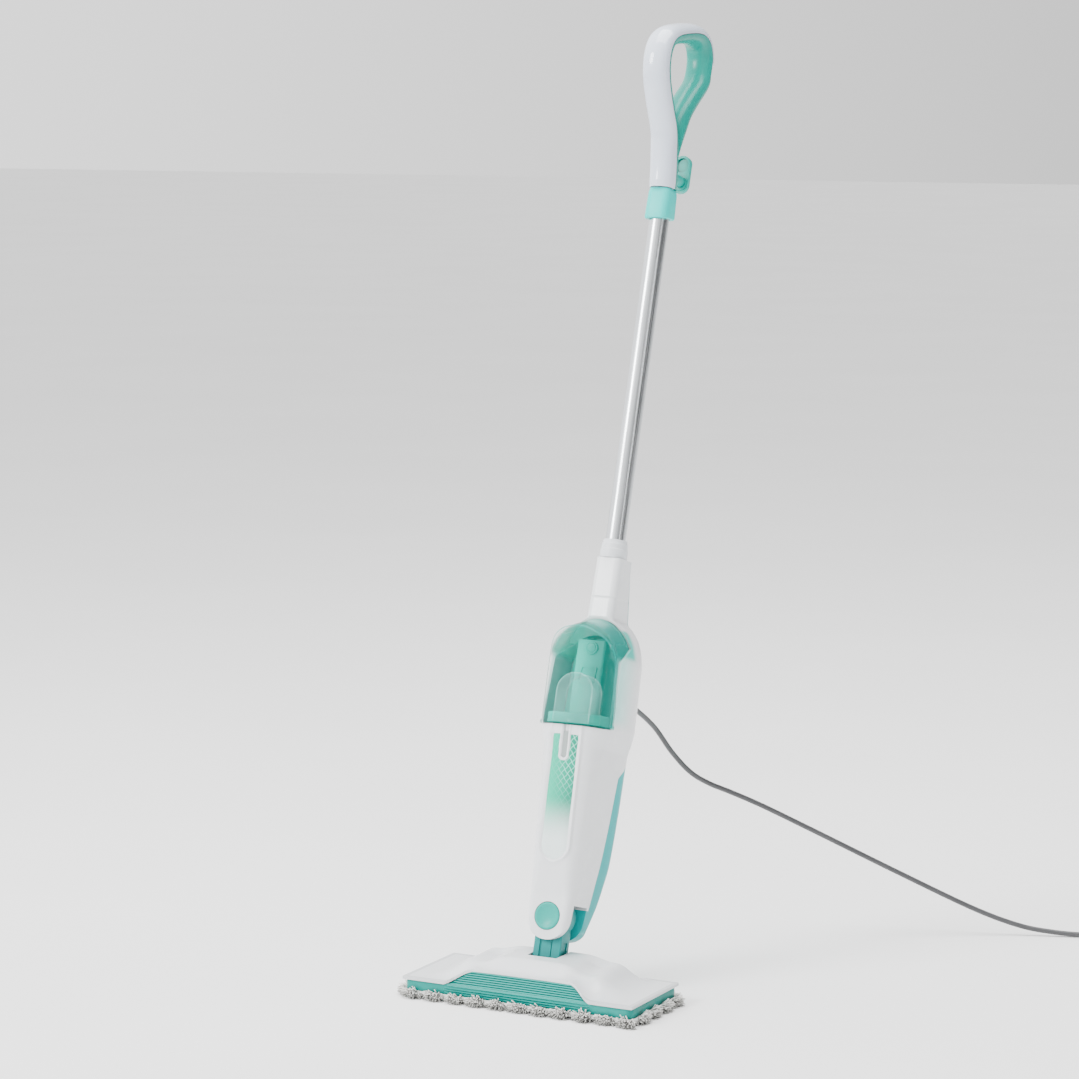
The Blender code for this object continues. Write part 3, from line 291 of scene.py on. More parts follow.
def moulded(name, colour, roughness=0.3, coat=0.0, variation=0.93, grain=0.00003, edge=0.3, painted_light=None,
            sheen=0.5):
    """Moulded plastic: slow changes of tone, fine spark texture, uneven gloss, a painted highlight on convex
    edges and painted shade in creases.
    """
    s = Shader(name)
    cloud = s.span(s.noise(14, 3), 0.35, 0.65)
    base = s.mix(cloud, shade(colour, variation), colour)
    # painted light or shade laid over the colour by position, when given
    if painted_light:
        base = painted_light(s, base)
    # painted highlight on convex edges
    base = painted_edge_highlight(s, base, shade(colour, 1.25), edge)
    # painted shade in creases and grooves
    base = s.paint_crease_shade(base, shade(colour, 0.45), 0.007, 0.45, 0.97, 0.75)
    spark = s.noise(1400, 2)
    smear = s.noise(40, 4)
    gloss = s.add(s.span(spark, 0.3, 0.7, roughness * 0.85, roughness * 1.1),
                   s.span(smear, 0.4, 0.7, 0.0, 0.05))
    s.set(Base_Color=base, Roughness=gloss, IOR=1.49, Coat_Weight=coat, Coat_Roughness=0.08,
          Specular_IOR_Level=s.span(smear, 0.2, 0.8, sheen * 0.9, sheen))
    s.bump(s.add(spark, s.multiply(s.noise(90, 2), 2.0)), grain)
    return s.material


def metal(name, colour, roughness, along=(1, 1, 1), grain=0.00002):
    """Metal with fine marks drawn out along its length."""
    s = Shader(name)
    marks = s.noise(600, 3, s.stretched(*along))
    stain = s.noise(22, 4)
    base = s.mix(s.span(marks, 0.35, 0.65), shade(colour, 0.86), colour)
    base = s.mix(s.span(stain, 0.55, 0.8, 0.0, 0.35), base, shade(colour, 0.75))
    s.set(Base_Color=base, Metallic=1.0, Roughness=s.span(marks, 0.3, 0.7, roughness * 0.8, roughness * 1.3))
    s.bump(marks, grain)
    return s.material


def rubber(name, colour, roughness=0.6, grain=0.00008):
    s = Shader(name)
    dust = s.noise(26, 4)
    skin = s.noise(900, 3)
    base = s.mix(s.span(dust, 0.4, 0.75, 0.0, 0.5), colour, shade(colour, 1.5))
    s.set(Base_Color=base, Roughness=s.span(skin, 0.3, 0.7, roughness * 0.85, roughness * 1.1),
          Sheen_Weight=0.15, Sheen_Roughness=0.5)
    s.bump(skin, grain)
    return s.material


def microfibre(name, pale, dark):
    """Looped yarn: off-white, with painted shade that darkens it from its tips down to its roots and between
    the tufts, and fine strands along it.
    """
    s = Shader(name)
    # painted shade: darker low in the pile, towards the roots
    height = s.span(s.axes()[2], 0.001, 0.013)
    tone = s.span(s.noise(170, 3), 0.35, 0.7)
    base = s.mix(height, dark, pale)
    base = s.mix(s.multiply(tone, 0.30), base, shade(pale, 0.72))
    strands = s.noise(2600, 3)
    base = s.mix(s.span(strands, 0.45, 0.75, 0.0, 0.35), base, shade(pale, 1.1))
    # painted shade between the tufts and in creases
    base = s.paint_crease_shade(base, shade(dark, 0.55), 0.006, 0.10, 0.75, 0.85)
    s.set(Base_Color=base, Roughness=0.95, Sheen_Weight=0.3, Sheen_Roughness=0.4)
    s.bump(strands, 0.0004)
    return s.material


def clear_plastic(name, colour, alpha=0.10):
    """Clear moulding with faint flow marks, a few fine scuffs and a painted highlight line along the
    chamber's arch outline.
    """
    s = Shader(name)
    flow = s.noise(30, 2, s.stretched(1, 1, 0.4))
    scuff = s.noise(500, 4, s.stretched(1, 1, 0.1))
    x, _, z = s.axes()
    across = s.calc("DIVIDE", x, CHAMBER_HALF)
    lift = s.calc("DIVIDE", s.largest(s.subtract(z, CHAMBER_SHOULDER), 0.0), CHAMBER_TOP - CHAMBER_SHOULDER)
    # painted highlight: a paler, more opaque line along the chamber's arch outline
    rim = s.span(s.hypotenuse(across, lift), 0.91, 0.96)
    base = s.mix(s.span(flow, 0.4, 0.7), colour, shade(colour, 0.9))
    s.set(Base_Color=base, Roughness=s.span(scuff, 0.6, 0.8, 0.03, 0.11), IOR=1.5, Coat_Weight=1.0,
          Alpha=s.add(s.span(scuff, 0.3, 0.7, alpha * 0.6, alpha), s.multiply(rim, 0.22)))
    s.bump(flow, 0.0003, 0.5)
    return s.material


# ---- materials ---------------------------------------------------------------------------
WHITE = (0.78, 0.80, 0.82, 1.0)
TEAL = (0.0, 0.28, 0.24, 1.0)
MINT = (0.0, 0.60, 0.55, 1.0)
GRIP_TEAL = (0.0, 0.29, 0.235, 1.0)
STRIP_TEAL = (0.0, 0.40, 0.40, 1.0)
# colour of the painted teal light from the tank on the housing
TANK_GLOW_TEAL = (0.20, 0.82, 0.72, 1.0)


def housing_painted_teal_light(s, base):
    """Painted teal light from the tank on the shoulders beside it and on the crown round its top."""
    _, y, z = s.axes()
    side = s.multiply(s.span(z, 0.288, 0.306), s.span(z, 0.412, 0.385))
    side = s.multiply(side, s.span(y, 0.040, -0.012))
    # painted teal light from the tank on the shoulders
    base = s.mix(s.multiply(side, 0.6), base, TANK_GLOW_TEAL)
    # painted teal light from the tank on the crown
    crown = s.multiply(s.span(z, 0.374, 0.382), s.span(y, 0.030, 0.018))
    crown = s.multiply(crown, s.span(z, 0.414, 0.410))
    return s.mix(s.multiply(crown, 0.9), base, (0.0, 0.55, 0.45, 1.0))


def cover_painted_lip_shade(s, base):
    """Painted shade: a greyer copy of the white on the band low round the cover's lip."""
    x, y, z = s.axes()
    rim = s.largest(s.subtract(s.calc("ABSOLUTE", x), HEAD_HALF_W),
                 s.subtract(s.calc("ABSOLUTE", y), HEAD_HALF_D))
    band = s.multiply(s.span(rim, -0.0040, -0.0034), s.span(z, 0.036, 0.032))
    # painted shade on the lip
    return s.mix(s.multiply(band, 0.8), base, (0.56, 0.58, 0.60, 1.0))


def panel_material():
    """Fish-scale lattice over a mint to teal ground that fades to pale grey at the foot."""
    s = Shader("decor_panel_print")
    x, _, z = s.axes()
    pitch_x, pitch_z = 0.0080, 0.0080 * 1.2
    wave = s.multiply(s.calc("SINE", s.calc("DIVIDE", s.multiply(z, 2 * math.pi), pitch_z)), 0.07)
    u = s.calc("DIVIDE", x, pitch_x)
    v = s.calc("DIVIDE", z, pitch_z)
    slant_a = s.calc("PINGPONG", s.add(s.add(u, v), wave), 0.5)
    slant_b = s.calc("PINGPONG", s.add(s.subtract(u, v), wave), 0.5)
    line = s.span(s.calc("MINIMUM", slant_a, slant_b), 0.085, 0.035)
    reach = s.multiply(s.span(x, -0.012, 0.006, 0.12, 1.0), s.span(z, 0.190, 0.245, 0.1, 1.0))
    ground = s.mix(s.span(x, -0.016, 0.016), (0.0, 0.52, 0.32, 1.0), (0.0, 0.26, 0.165, 1.0))
    ground = s.mix(s.span(s.noise(60, 3), 0.35, 0.7, 0.0, 0.35), ground, (0.0, 0.44, 0.285, 1.0))
    printed = s.mix(s.multiply(line, s.multiply(reach, 0.85)), ground, (0.34, 0.90, 0.74, 1.0))
    fade = s.span(z, 0.148, 0.205)
    base = s.mix(fade, (0.74, 0.84, 0.83, 1.0), printed)
    s.set(Base_Color=base, Roughness=s.span(s.noise(1200, 2), 0.3, 0.7, 0.16, 0.24), IOR=1.49,
          Specular_IOR_Level=s.span(s.noise(50, 2), 0.3, 0.7, 0.2, 0.28))
    s.bump(s.add(line, s.noise(700, 2)), 0.00004)
    return s.material


def tank_inner_material():
    """Teal moulding behind the clear tank: painted shade from pale on the left to dark on the right, darker
    towards its foot, and a faint painted glow.
    """
    s = Shader("tank_inner_teal")
    x, _, z = s.axes()
    # painted shade: lit pale on the left, shaded dark on the right
    across = s.span(x, -0.024, 0.016)
    base = s.mix(across, (0.0, 0.50, 0.385, 1.0), (0.0, 0.17, 0.13, 1.0))
    base = s.mix(s.span(z, 0.318, 0.292, 0.0, 0.7), base, (0.0, 0.25, 0.19, 1.0))
    base = s.mix(s.span(s.noise(45, 3), 0.35, 0.7, 0.0, 0.2), base, (0.0, 0.36, 0.29, 1.0))
    # painted light: a faint glow in its own colour, though it is no lamp
    s.set(Base_Color=base, Roughness=s.span(s.noise(900, 2), 0.3, 0.7, 0.20, 0.30), IOR=1.49,
          Specular_IOR_Level=0.15, Emission_Color=base,
          Emission_Strength=s.span(s.noise(60, 2), 0.3, 0.7, 0.30, 0.38))
    s.bump(s.noise(500, 2), 0.00004)
    return s.material


def tank_shell_material():
    """Clear front with darker teal rims, a teal dome with painted shade across it, and a faint extra teal low
    down.
    """
    s = Shader("tank_clear_to_teal")
    x, y, z = s.axes()
    dome = s.multiply(s.span(y, -0.030, -0.014), s.span(z, 0.368, 0.380))
    side = s.multiply(s.span(y, -0.034, -0.014), s.span(x, 0.030, 0.044))
    flow = s.noise(30, 2, s.stretched(1, 1, 0.4))
    clear = s.mix(s.span(flow, 0.4, 0.7), (0.10, 0.72, 0.62, 1.0), (0.04, 0.60, 0.52, 1.0))
    clear = s.mix(s.largest(s.span(z, 0.302, 0.290, 0.0, 0.6), s.multiply(side, 0.5)), clear,
                  (0.10, 0.66, 0.58, 1.0))
    # painted shade across the dome: pale teal on the left, dark teal on the right
    dome_teal = s.mix(s.span(x, -0.034, 0.030), (0.0, 0.62, 0.49, 1.0), (0.0, 0.30, 0.25, 1.0))
    wide = s.calc("ABSOLUTE", x)
    half = s.span(z, 0.280, 0.380, TANK_HALF + 0.0003, TANK_HALF - TANK_TAPER)
    crown = s.calc("MULTIPLY_ADD", y, TANK_RISE, TANK_TOP - TANK_SHOULDER - TANK_RISE * TANK_FRONT_Y)
    lift = s.calc("DIVIDE", s.largest(s.subtract(z, TANK_SHOULDER), 0.0), crown)
    share = s.calc("DIVIDE", wide, half)
    to_arch = s.multiply(s.subtract(1.0, s.hypotenuse(share, lift)), TANK_HALF)
    past = s.largest(s.subtract(wide, TANK_HALF - TANK_FRONT_R), 0.0)
    depth = s.calc("SQRT", s.subtract(TANK_FRONT_R ** 2, s.multiply(past, past)))
    to_bulge = s.subtract(s.add(y, depth), TANK_FRONT_Y + TANK_FRONT_R)
    # darker, more opaque teal along the arch and bulge outlines: partly the thick wall seen edge-on, partly a
    # painted dark edge that stands in for refraction
    rim = s.span(s.largest(to_arch, to_bulge), 0.0022, 0.0010)
    base = s.mix(rim, s.mix(dome, clear, dome_teal), (0.0, 0.40, 0.34, 1.0))
    scuff = s.noise(500, 4, s.stretched(1, 1, 0.1))
    alpha = s.add(s.span(scuff, 0.35, 0.7, 0.030, 0.055), s.multiply(dome, 0.66))
    alpha = s.add(alpha, s.multiply(side, 0.10))
    alpha = s.largest(alpha, s.multiply(rim, 0.62))
    s.set(Base_Color=base, Roughness=s.span(scuff, 0.6, 0.8, 0.03, 0.10), Alpha=alpha, IOR=1.55,
          Specular_IOR_Level=0.45, Coat_Weight=0.25, Coat_Roughness=0.03)
    s.bump(flow, 0.0002, 0.5)
    return s.material


MATERIALS = {
    "white_gloss": moulded("white_gloss", WHITE, 0.20, 0.35, 0.975, 0.00002, 0.15),
    "housing_white": moulded("housing_white", WHITE, 0.24, 0.3, 0.975, 0.00002, 0.15, housing_painted_teal_light),
    "cover_white": moulded("cover_white", WHITE, 0.20, 0.35, 0.975, 0.00002, 0.1, cover_painted_lip_shade),
    "grip_white": moulded("grip_white", (0.62, 0.68, 0.78, 1.0), 0.14, 0.6, 0.975, 0.00002, 0.2),
    "teal_gloss": moulded("teal_gloss", TEAL, 0.30, edge=0.1, sheen=0.22),
    "grip_teal": moulded("grip_teal", GRIP_TEAL, 0.24, edge=0.1, sheen=0.3),
    "mint": moulded("mint", MINT, 0.34, edge=0.1, sheen=0.22),
    "strip_teal": moulded("strip_teal", STRIP_TEAL, 0.32, edge=0.1, sheen=0.22),
    "button_mint": moulded("button_mint", (0.0, 0.36, 0.30, 1.0), 0.30, edge=0.1, sheen=0.25),
    "teal_satin": moulded("teal_satin", (0.0, 0.25, 0.24, 1.0), 0.34, edge=0.1, sheen=0.25),
    "light_grey": moulded("light_grey", (0.70, 0.73, 0.76, 1.0), 0.34),
    "slot_grey": moulded("slot_grey", srgb(150, 160, 158), 0.25, 0.3),
    "black_plastic": moulded("black_plastic", srgb(40, 40, 43), 0.45),
    "aluminium": metal("aluminium", srgb(214, 218, 221), 0.24, (1, 1, 0.02)),
    "steel": metal("steel", srgb(192, 194, 197), 0.28),
    "brass": metal("brass", srgb(212, 178, 104), 0.30),
    "cord_rubber": rubber("cord_rubber", (0.050, 0.050, 0.053, 1.0), 0.42),
    "black_rubber": rubber("black_rubber", srgb(36, 36, 38), 0.7),
    "silicone": rubber("silicone", srgb(222, 216, 204), 0.5),
    "hook_fabric": rubber("hook_fabric", srgb(62, 62, 66), 0.9, 0.0004),
    # the second colour is the painted shade low in the pile
    "microfibre": microfibre("microfibre", (0.95, 0.94, 0.90, 1.0), (0.34, 0.34, 0.32, 1.0)),
    "decor_panel": panel_material(),
    "tank_inner": tank_inner_material(),
    "tank_clear": tank_shell_material(),
    "clear_inner": clear_plastic("clear_inner", (0.42, 0.90, 0.82, 1.0)),
}


# ---- mesh helpers ------------------------------------------------------------------------
def skin(shape, rings):
    """Quads between neighbouring closed rings of vertices."""
    count = len(rings[0])
    for lower, upper in zip(rings, rings[1:]):
        for i in range(count):
            j = (i + 1) % count
            shape.faces.new((lower[i], lower[j], upper[j], upper[i]))


def loft(rings, caps=True):
    """Closed skin through rings of equal length: with flat ends, or joined where the last meets the first."""
    shape = bmesh.new()
    rows = [[shape.verts.new(point) for point in ring] for ring in rings]
    skin(shape, rows)
    if caps:
        shape.faces.new(reversed(rows[0]))
        shape.faces.new(rows[-1])
    else:
        bmesh.ops.remove_doubles(shape, verts=shape.verts[:], dist=1e-7)
    bmesh.ops.recalc_face_normals(shape, faces=shape.faces[:])
    return shape


def slab(front, back):
    """Closed plate between two grids of points of one size."""
    shape = bmesh.new()
    rows, columns = len(front) - 1, len(front[0]) - 1
    front, back = ([[shape.verts.new(p) for p in line] for line in grid] for grid in (front, back))
    for j in range(rows):
        for i in range(columns):
            shape.faces.new((front[j][i], front[j][i + 1], front[j + 1][i + 1], front[j + 1][i]))
            shape.faces.new((back[j][i], back[j + 1][i], back[j + 1][i + 1], back[j][i + 1]))
    for j in range(rows):
        for i in (0, columns):
            shape.faces.new((front[j][i], front[j + 1][i], back[j + 1][i], back[j][i]))
    for i in range(columns):
        for j in (0, rows):
            shape.faces.new((front[j][i], back[j][i], back[j][i + 1], front[j][i + 1]))
    bmesh.ops.recalc_face_normals(shape, faces=shape.faces[:])
    return shape


def fillet_outline(corners, segments=10, spans=None):
    """Closed outline with an arc at each (x, y, radius) corner, and `spans` pieces along each side."""
    arcs = []
    total = len(corners)
    for i, (x, y, radius) in enumerate(corners):
        here = Vector((x, y))
        if radius <= 0:
            arcs.append([here])
            continue
        before = (Vector(corners[i - 1][:2]) - here).normalized()
        after = (Vector(corners[(i + 1) % total][:2]) - here).normalized()
        half = math.acos(max(-1.0, min(1.0, before.dot(after)))) / 2
        centre = here + (before + after).normalized() * (radius / math.sin(half))
        start = here + before * (radius / math.tan(half)) - centre
        end = here + after * (radius / math.tan(half)) - centre
        sweep = start.angle_signed(end)
        steps = segments[i] if isinstance(segments, tuple) else segments
        arcs.append([centre + Matrix.Rotation(-sweep * k / steps, 2) @ start for k in range(steps + 1)])
    points = []
    for i, arc in enumerate(arcs):
        points += arc
        count = spans[i] if spans else 1
        after = arcs[(i + 1) % total][0]
        points += [arc[-1].lerp(after, k / count) for k in range(1, count)]
    return [tuple(p) for p in points]


def tapered(near, far, segments=8, spans=None):
    """Outline of a symmetrical block, given as (half width, depth, corner radius) at its two ends."""
    (half_0, low, radius_0), (half_1, high, radius_1) = near, far
    return fillet_outline([(-half_0, low, radius_0), (half_0, low, radius_0),
                           (half_1, high, radius_1), (-half_1, high, radius_1)], segments, spans)


def rectangle(half_x, half_y, radius, segments=8, spans=None):
    return tapered((half_x, -half_y, radius), (half_x, half_y, radius), segments, spans)


def arc(x, y, radius, start, steps, sweep=math.pi):
    angles = [start + sweep * step / steps for step in range(steps + 1)]
    return [(x + radius * math.cos(angle), y + radius * math.sin(angle)) for angle in angles]


def arch_outline(half, taper, base, shoulder, top, segments=44, corner=0.006):
    """Outline with rounded feet and an elliptical crown above its shoulder."""
    points = arc(-half + corner, base + corner, corner, math.pi, 8, math.pi / 2)
    points += arc(half - corner, base + corner, corner, -math.pi / 2, 8, math.pi / 2)
    for step in range(segments + 1):
        angle = math.pi * step / segments
        points.append(((half - taper) * math.cos(angle), shoulder + (top - shoulder) * math.sin(angle)))
    return points


def prism(outline, axis, low, high, levels=1):
    """Solid with the outline's shape across the named axis, from low to high."""
    def place(u, v, level):
        return {"X": (level, u, v), "Y": (u, level, v), "Z": (u, v, level)}[axis]
    heights = [low + (high - low) * k / levels for k in range(levels + 1)]
    return loft([[place(u, v, height) for u, v in outline] for height in heights])


def box(low, high):
    (x0, y0, z0), (x1, y1, z1) = low, high
    return prism([(x0, y0), (x1, y0), (x1, y1), (x0, y1)], "Z", z0, z1)


def turned(profile, centre, axis="Z", sides=64):
    """Turn a closed profile of (radius, height) points round an axis through `centre`."""
    shape = bmesh.new()
    columns = []
    for i in range(sides):
        angle = 2 * math.pi * i / sides
        columns.append([shape.verts.new((r * math.cos(angle), r * math.sin(angle), h)) for r, h in profile])
    for i in range(sides):
        near, far = columns[i], columns[(i + 1) % sides]
        for k in range(len(profile)):
            n = (k + 1) % len(profile)
            if profile[k][0] > 0 or profile[n][0] > 0:
                shape.faces.new((near[k], far[k], far[n], near[n]))
    bmesh.ops.remove_doubles(shape, verts=shape.verts[:], dist=1e-7)
    bmesh.ops.recalc_face_normals(shape, faces=shape.faces[:])
    turn = {"X": Matrix.Rotation(math.pi / 2, 4, "Y"), "Y": Matrix.Rotation(-math.pi / 2, 4, "X"),
            "Z": Matrix.Identity(4)}[axis]
    shape.transform(Matrix.Translation(Vector(centre)) @ turn)
    return shape


def rod(radius, centre, low, high, axis="Z", sides=64):
    return turned([(0, low), (radius, low), (radius, high), (0, high)], centre, axis, sides)


def rounded(profile, radius=0.0006, segments=3):
    """The same closed profile with each corner rounded by up to `radius`."""
    points = []
    total = len(profile)
    for i, corner in enumerate(profile):
        here = Vector(corner)
        before = Vector(profile[i - 1]) - here
        after = Vector(profile[(i + 1) % total]) - here
        if corner[0] <= 0 or before.length < 1e-6 or after.length < 1e-6:
            points.append(tuple(here))
            continue
        reach = min(radius, before.length / 2.2, after.length / 2.2)
        start, end = here + before.normalized() * reach, here + after.normalized() * reach
        for k in range(segments + 1):
            t = k / segments
            points.append(tuple(start * (1 - t) ** 2 + here * 2 * t * (1 - t) + end * t ** 2))
    return points


def to_object(name, shape, matrix):
    mesh = bpy.data.meshes.new(name)
    shape.normal_update()
    shape.to_mesh(mesh)
    shape.free()
    made = bpy.data.objects.new(name, mesh)
    bpy.context.scene.collection.objects.link(made)
    made.matrix_world = matrix
    return made


def keep_evaluated(made):
    """Give an object its own evaluated mesh and drop its modifiers."""
    bpy.context.view_layer.update()
    result = bpy.data.meshes.new_from_object(made.evaluated_get(bpy.context.evaluated_depsgraph_get()))
    made.modifiers.clear()
    made.data = result


def cuts(*shapes):
    return [("DIFFERENCE", shape) for shape in shapes]


def carve(made, steps):
    """Apply boolean steps, (operation, shape) each, to an object's mesh, and remove the tools."""
    tools = []
    for operation, shape in steps:
        tool = to_object("tool", shape, made.matrix_world) if isinstance(shape, bmesh.types.BMesh) else shape
        step = made.modifiers.new(operation, "BOOLEAN")
        step.operation = operation
        step.solver = "EXACT"
        step.object = tool
        tools.append(tool)
    keep_evaluated(made)
    for tool in tools:
        bpy.data.objects.remove(tool)
    return made


def bevelled(made, width, segments=2, angle=40):
    step = made.modifiers.new("edges", "BEVEL")
    step.width = width
    step.segments = segments
    step.limit_method = "ANGLE"
    step.angle_limit = math.radians(angle)
    step.use_clamp_overlap = True
    step.harden_normals = False
    return made


def dress(made, finish, body, slot, *replaced, sharp=32):
    """Give a piece its material and body, and hide the CAD nodes it stands for."""
    made.data.materials.clear()
    made.data.materials.append(MATERIALS[finish])
    made.data.shade_smooth()
    made.data.set_sharp_from_angle(angle=math.radians(sharp))
    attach(made, body)
    if replaced:
        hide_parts(*replaced)
    return made


def smooth_step(t):
    t = max(0.0, min(1.0, t))
    return t * t * (3 - 2 * t)


def smooth_route(route, spacing):
    """Points about `spacing` apart on a smooth curve through the route's own points."""
    ends = [2 * route[0] - route[1]] + route + [2 * route[-1] - route[-2]]
    dense = []
    for a, b, c, d in zip(ends, ends[1:], ends[2:], ends[3:]):
        for step in range(24):
            t = step / 24
            dense.append(0.5 * ((2 * b) + (c - a) * t + (2 * a - 5 * b + 4 * c - d) * t ** 2
                                + (3 * b - a - 3 * c + d) * t ** 3))
    dense.append(route[-1])
    length = sum((b - a).length for a, b in zip(dense, dense[1:]))
    count = max(2, round(length / spacing))
    points = [dense[0]]
    walked = 0.0
    for a, b in zip(dense, dense[1:]):
        walked += (b - a).length
        if walked >= length / count * len(points) and len(points) < count:
            points.append(b)
    points.append(dense[-1])
    return points


def tangent(table, i, k):
    """Slope of column k at row i, without overshoot between rows."""
    if i == 0 or i == len(table) - 1:
        return 0.0
    before = (table[i][k] - table[i - 1][k]) / (table[i][0] - table[i - 1][0])
    after = (table[i + 1][k] - table[i][k]) / (table[i + 1][0] - table[i][0])
    if before * after <= 0:
        return 0.0
    return 2 * before * after / (before + after)


def smooth_row(table, z):
    """Row of the table at any height, on a smooth curve through the stated rows."""
    z = max(table[0][0], min(table[-1][0], z))
    i = max(k for k in range(len(table) - 1) if table[k][0] <= z)
    low, high = table[i], table[i + 1]
    span = high[0] - low[0]
    t = (z - low[0]) / span
    row = []
    for k in range(1, len(low)):
        m0, m1 = tangent(table, i, k) * span, tangent(table, i + 1, k) * span
        row.append((2 * t ** 3 - 3 * t ** 2 + 1) * low[k] + (t ** 3 - 2 * t ** 2 + t) * m0
                   + (-2 * t ** 3 + 3 * t ** 2) * high[k] + (t ** 3 - t ** 2) * m1)
    return row


# ---- power cord --------------------------------------------------------------------------
def relief_matrix():
    return SHAFT @ Matrix.Translation(CORD_EXIT) @ Matrix.Rotation(-math.pi / 2 - CORD_TILT, 4, "X")


def coil_points(per_turn=36):
    """Turns wound from the outside in and back out, one layer on another."""
    radii = [COIL_R + CORD_D * (COIL_LAYERS / 2 - 0.5 - k) for k in range(COIL_LAYERS)]
    slots = []
    for layer in range(COIL_LAYERS):
        ordered = radii if layer % 2 == 0 else radii[::-1]
        slots += [(radius, COIL_BASE + CORD_D * (layer + 0.5)) for radius in ordered]
    points = []
    last = len(slots) - 1
    for turn, (radius, height) in enumerate(slots):
        steps = per_turn if turn < last else per_turn // 4 + 1
        ahead = slots[min(turn + 1, last)]
        for step in range(steps):
            share = step / per_turn
            t = smooth_step((share - 0.80) / 0.20) if turn < last else 0.0
            angle = 2 * math.pi * share - math.pi / 2
            r = radius + (ahead[0] - radius) * t
            points.append(COIL_CENTRE + Vector((r * math.cos(angle), r * math.sin(angle),
                                                height + (ahead[1] - height) * t)))
    return points


def make_cord():
    out = Vector((0.0, math.cos(CORD_TILT), -math.sin(CORD_TILT)))
    straight = [shaft_to_world(CORD_EXIT + out * reach) for reach in (0.0, 0.018, 0.0363, 0.0503)]
    lead = smooth_route(straight + [Vector(p) for p in LEAD_ROUTE], 0.005)
    turns = coil_points()
    joining = smooth_route([lead[-2], lead[-1], turns[2], turns[4]], 0.004)[1:]
    lead_in = [p for p in joining if p.x < turns[2].x]
    tail = [COIL_CENTRE + Vector(p) for p in TAIL_ROUTE]
    tail_points = smooth_route([turns[-1]] + tail, 0.004)[1:]
    points = lead + lead_in[1:] + turns[2:] + tail_points

    curve = bpy.data.curves.new("cord", "CURVE")
    curve.dimensions = "3D"
    curve.bevel_depth = CORD_D / 2
    curve.bevel_resolution = 5
    curve.use_fill_caps = True
    spline = curve.splines.new("POLY")
    spline.points.add(len(points) - 1)
    for place, point in zip(spline.points, points):
        place.co = (*point, 1.0)
    spline.use_smooth = True
    curve.materials.append(MATERIALS["cord_rubber"])
    cord = bpy.data.objects.new("cord", curve)
    bpy.context.scene.collection.objects.link(cord)
    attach(cord, "housing")
    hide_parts("power_cord", "cord_coil", "cord_tail")
    return cord, shaft_to_world(CORD_EXIT)


def make_relief():
    """Tapered strain relief with flexing ribs."""
    bore = CORD_D / 2 + 0.0001
    profile = [(bore, -0.008), (0.0062, -0.008), (0.0062, 0.0045)]
    ribs = 8
    for k in range(ribs):
        z = 0.0060 + 0.0295 * k / ribs
        radius = 0.0060 - 0.0017 * (z - 0.006) / 0.030
        profile += [(radius - 0.0009, z), (radius, z + 0.0006), (radius, z + 0.0024),
                    (radius - 0.0009, z + 0.0030)]
    profile += [(0.0042, 0.0360), (bore, 0.0360)]
    relief = to_object("cord_relief", turned(rounded(profile, 0.0004), (0, 0, 0), "Z", 40), relief_matrix())
    return dress(relief, "cord_rubber", "housing", "cord_rubber", "strain_relief")


def make_plug():
    """Flat two-blade plug with a waisted grip and finger ribs."""
    low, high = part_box("plug_body")
    middle = (low + high) / 2
    stations = ((0.0, 0.0050, 0.0046), (0.002, 0.0056, 0.0052), (0.006, 0.0060, 0.0056),
                (0.010, 0.0070, 0.0062), (0.013, 0.0098, 0.0076), (0.016, 0.0112, 0.0083),
                (0.020, 0.0115, 0.0085), (0.026, 0.0106, 0.0080), (0.031, 0.0113, 0.0084),
                (0.0350, 0.0115, 0.0085), (0.0360, 0.0108, 0.0078))
    rings = []
    for k in range(73):
        along = PLUG_LENGTH * k / 72
        width, height = smooth_row(stations, along)
        rib = 0.0
        if 0.020 < along < 0.0312:
            rib = 0.0004 * max(0.0, math.sin(math.pi * (along - 0.020) / 0.0028))
        outline = rectangle(width + rib, height, 0.004)
        rings.append([(high.x - along, middle.y + a, middle.z + b) for a, b in outline])
    plug = to_object("plug", loft(rings), WORLD)
    return dress(plug, "cord_rubber", "housing", "cord_rubber", "plug_body", sharp=50)


def make_tie():
    """Soft strap round one side of the coil."""
    low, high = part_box("cord_tie")
    def loop(inset):
        x0, x1 = low.x + inset, high.x - inset
        z0, z1 = low.z + inset, high.z - inset
        return fillet_outline([(x, z, 0.003 - inset) for x, z in ((x0, z0), (x1, z0), (x1, z1), (x0, z1))], 8)
    outer, inner = loop(0.0), loop(0.0009)
    rings = []
    for y, ring in ((low.y + 0.0003, inner), (low.y, outer), (high.y, outer), (high.y - 0.0003, inner)):
        rings.append([(x, y, z) for x, z in ring])
    tie = to_object("cord_strap", loft(rings + rings[:1], caps=False), WORLD)
    return dress(tie, "black_plastic", "housing", "black_plastic", "cord_tie", sharp=60)


# ---- mop head ----------------------------------------------------------------------------
def ring_sweep(outline_at, section):
    """Closed band: `section` lists (inset, z) points, `outline_at` gives the outline at an inset."""
    rings = [[(x, y, z) for x, y in outline_at(inset)] for inset, z in section]
    return loft(rings + rings[:1], caps=False)


def head_outline(inset, radius=0.008):
    x, y, r = HEAD_HALF_W - inset, HEAD_HALF_D - inset, max(0.002, radius - inset)
    return rectangle(x, y, r, 10, (40, 16, 40, 16))


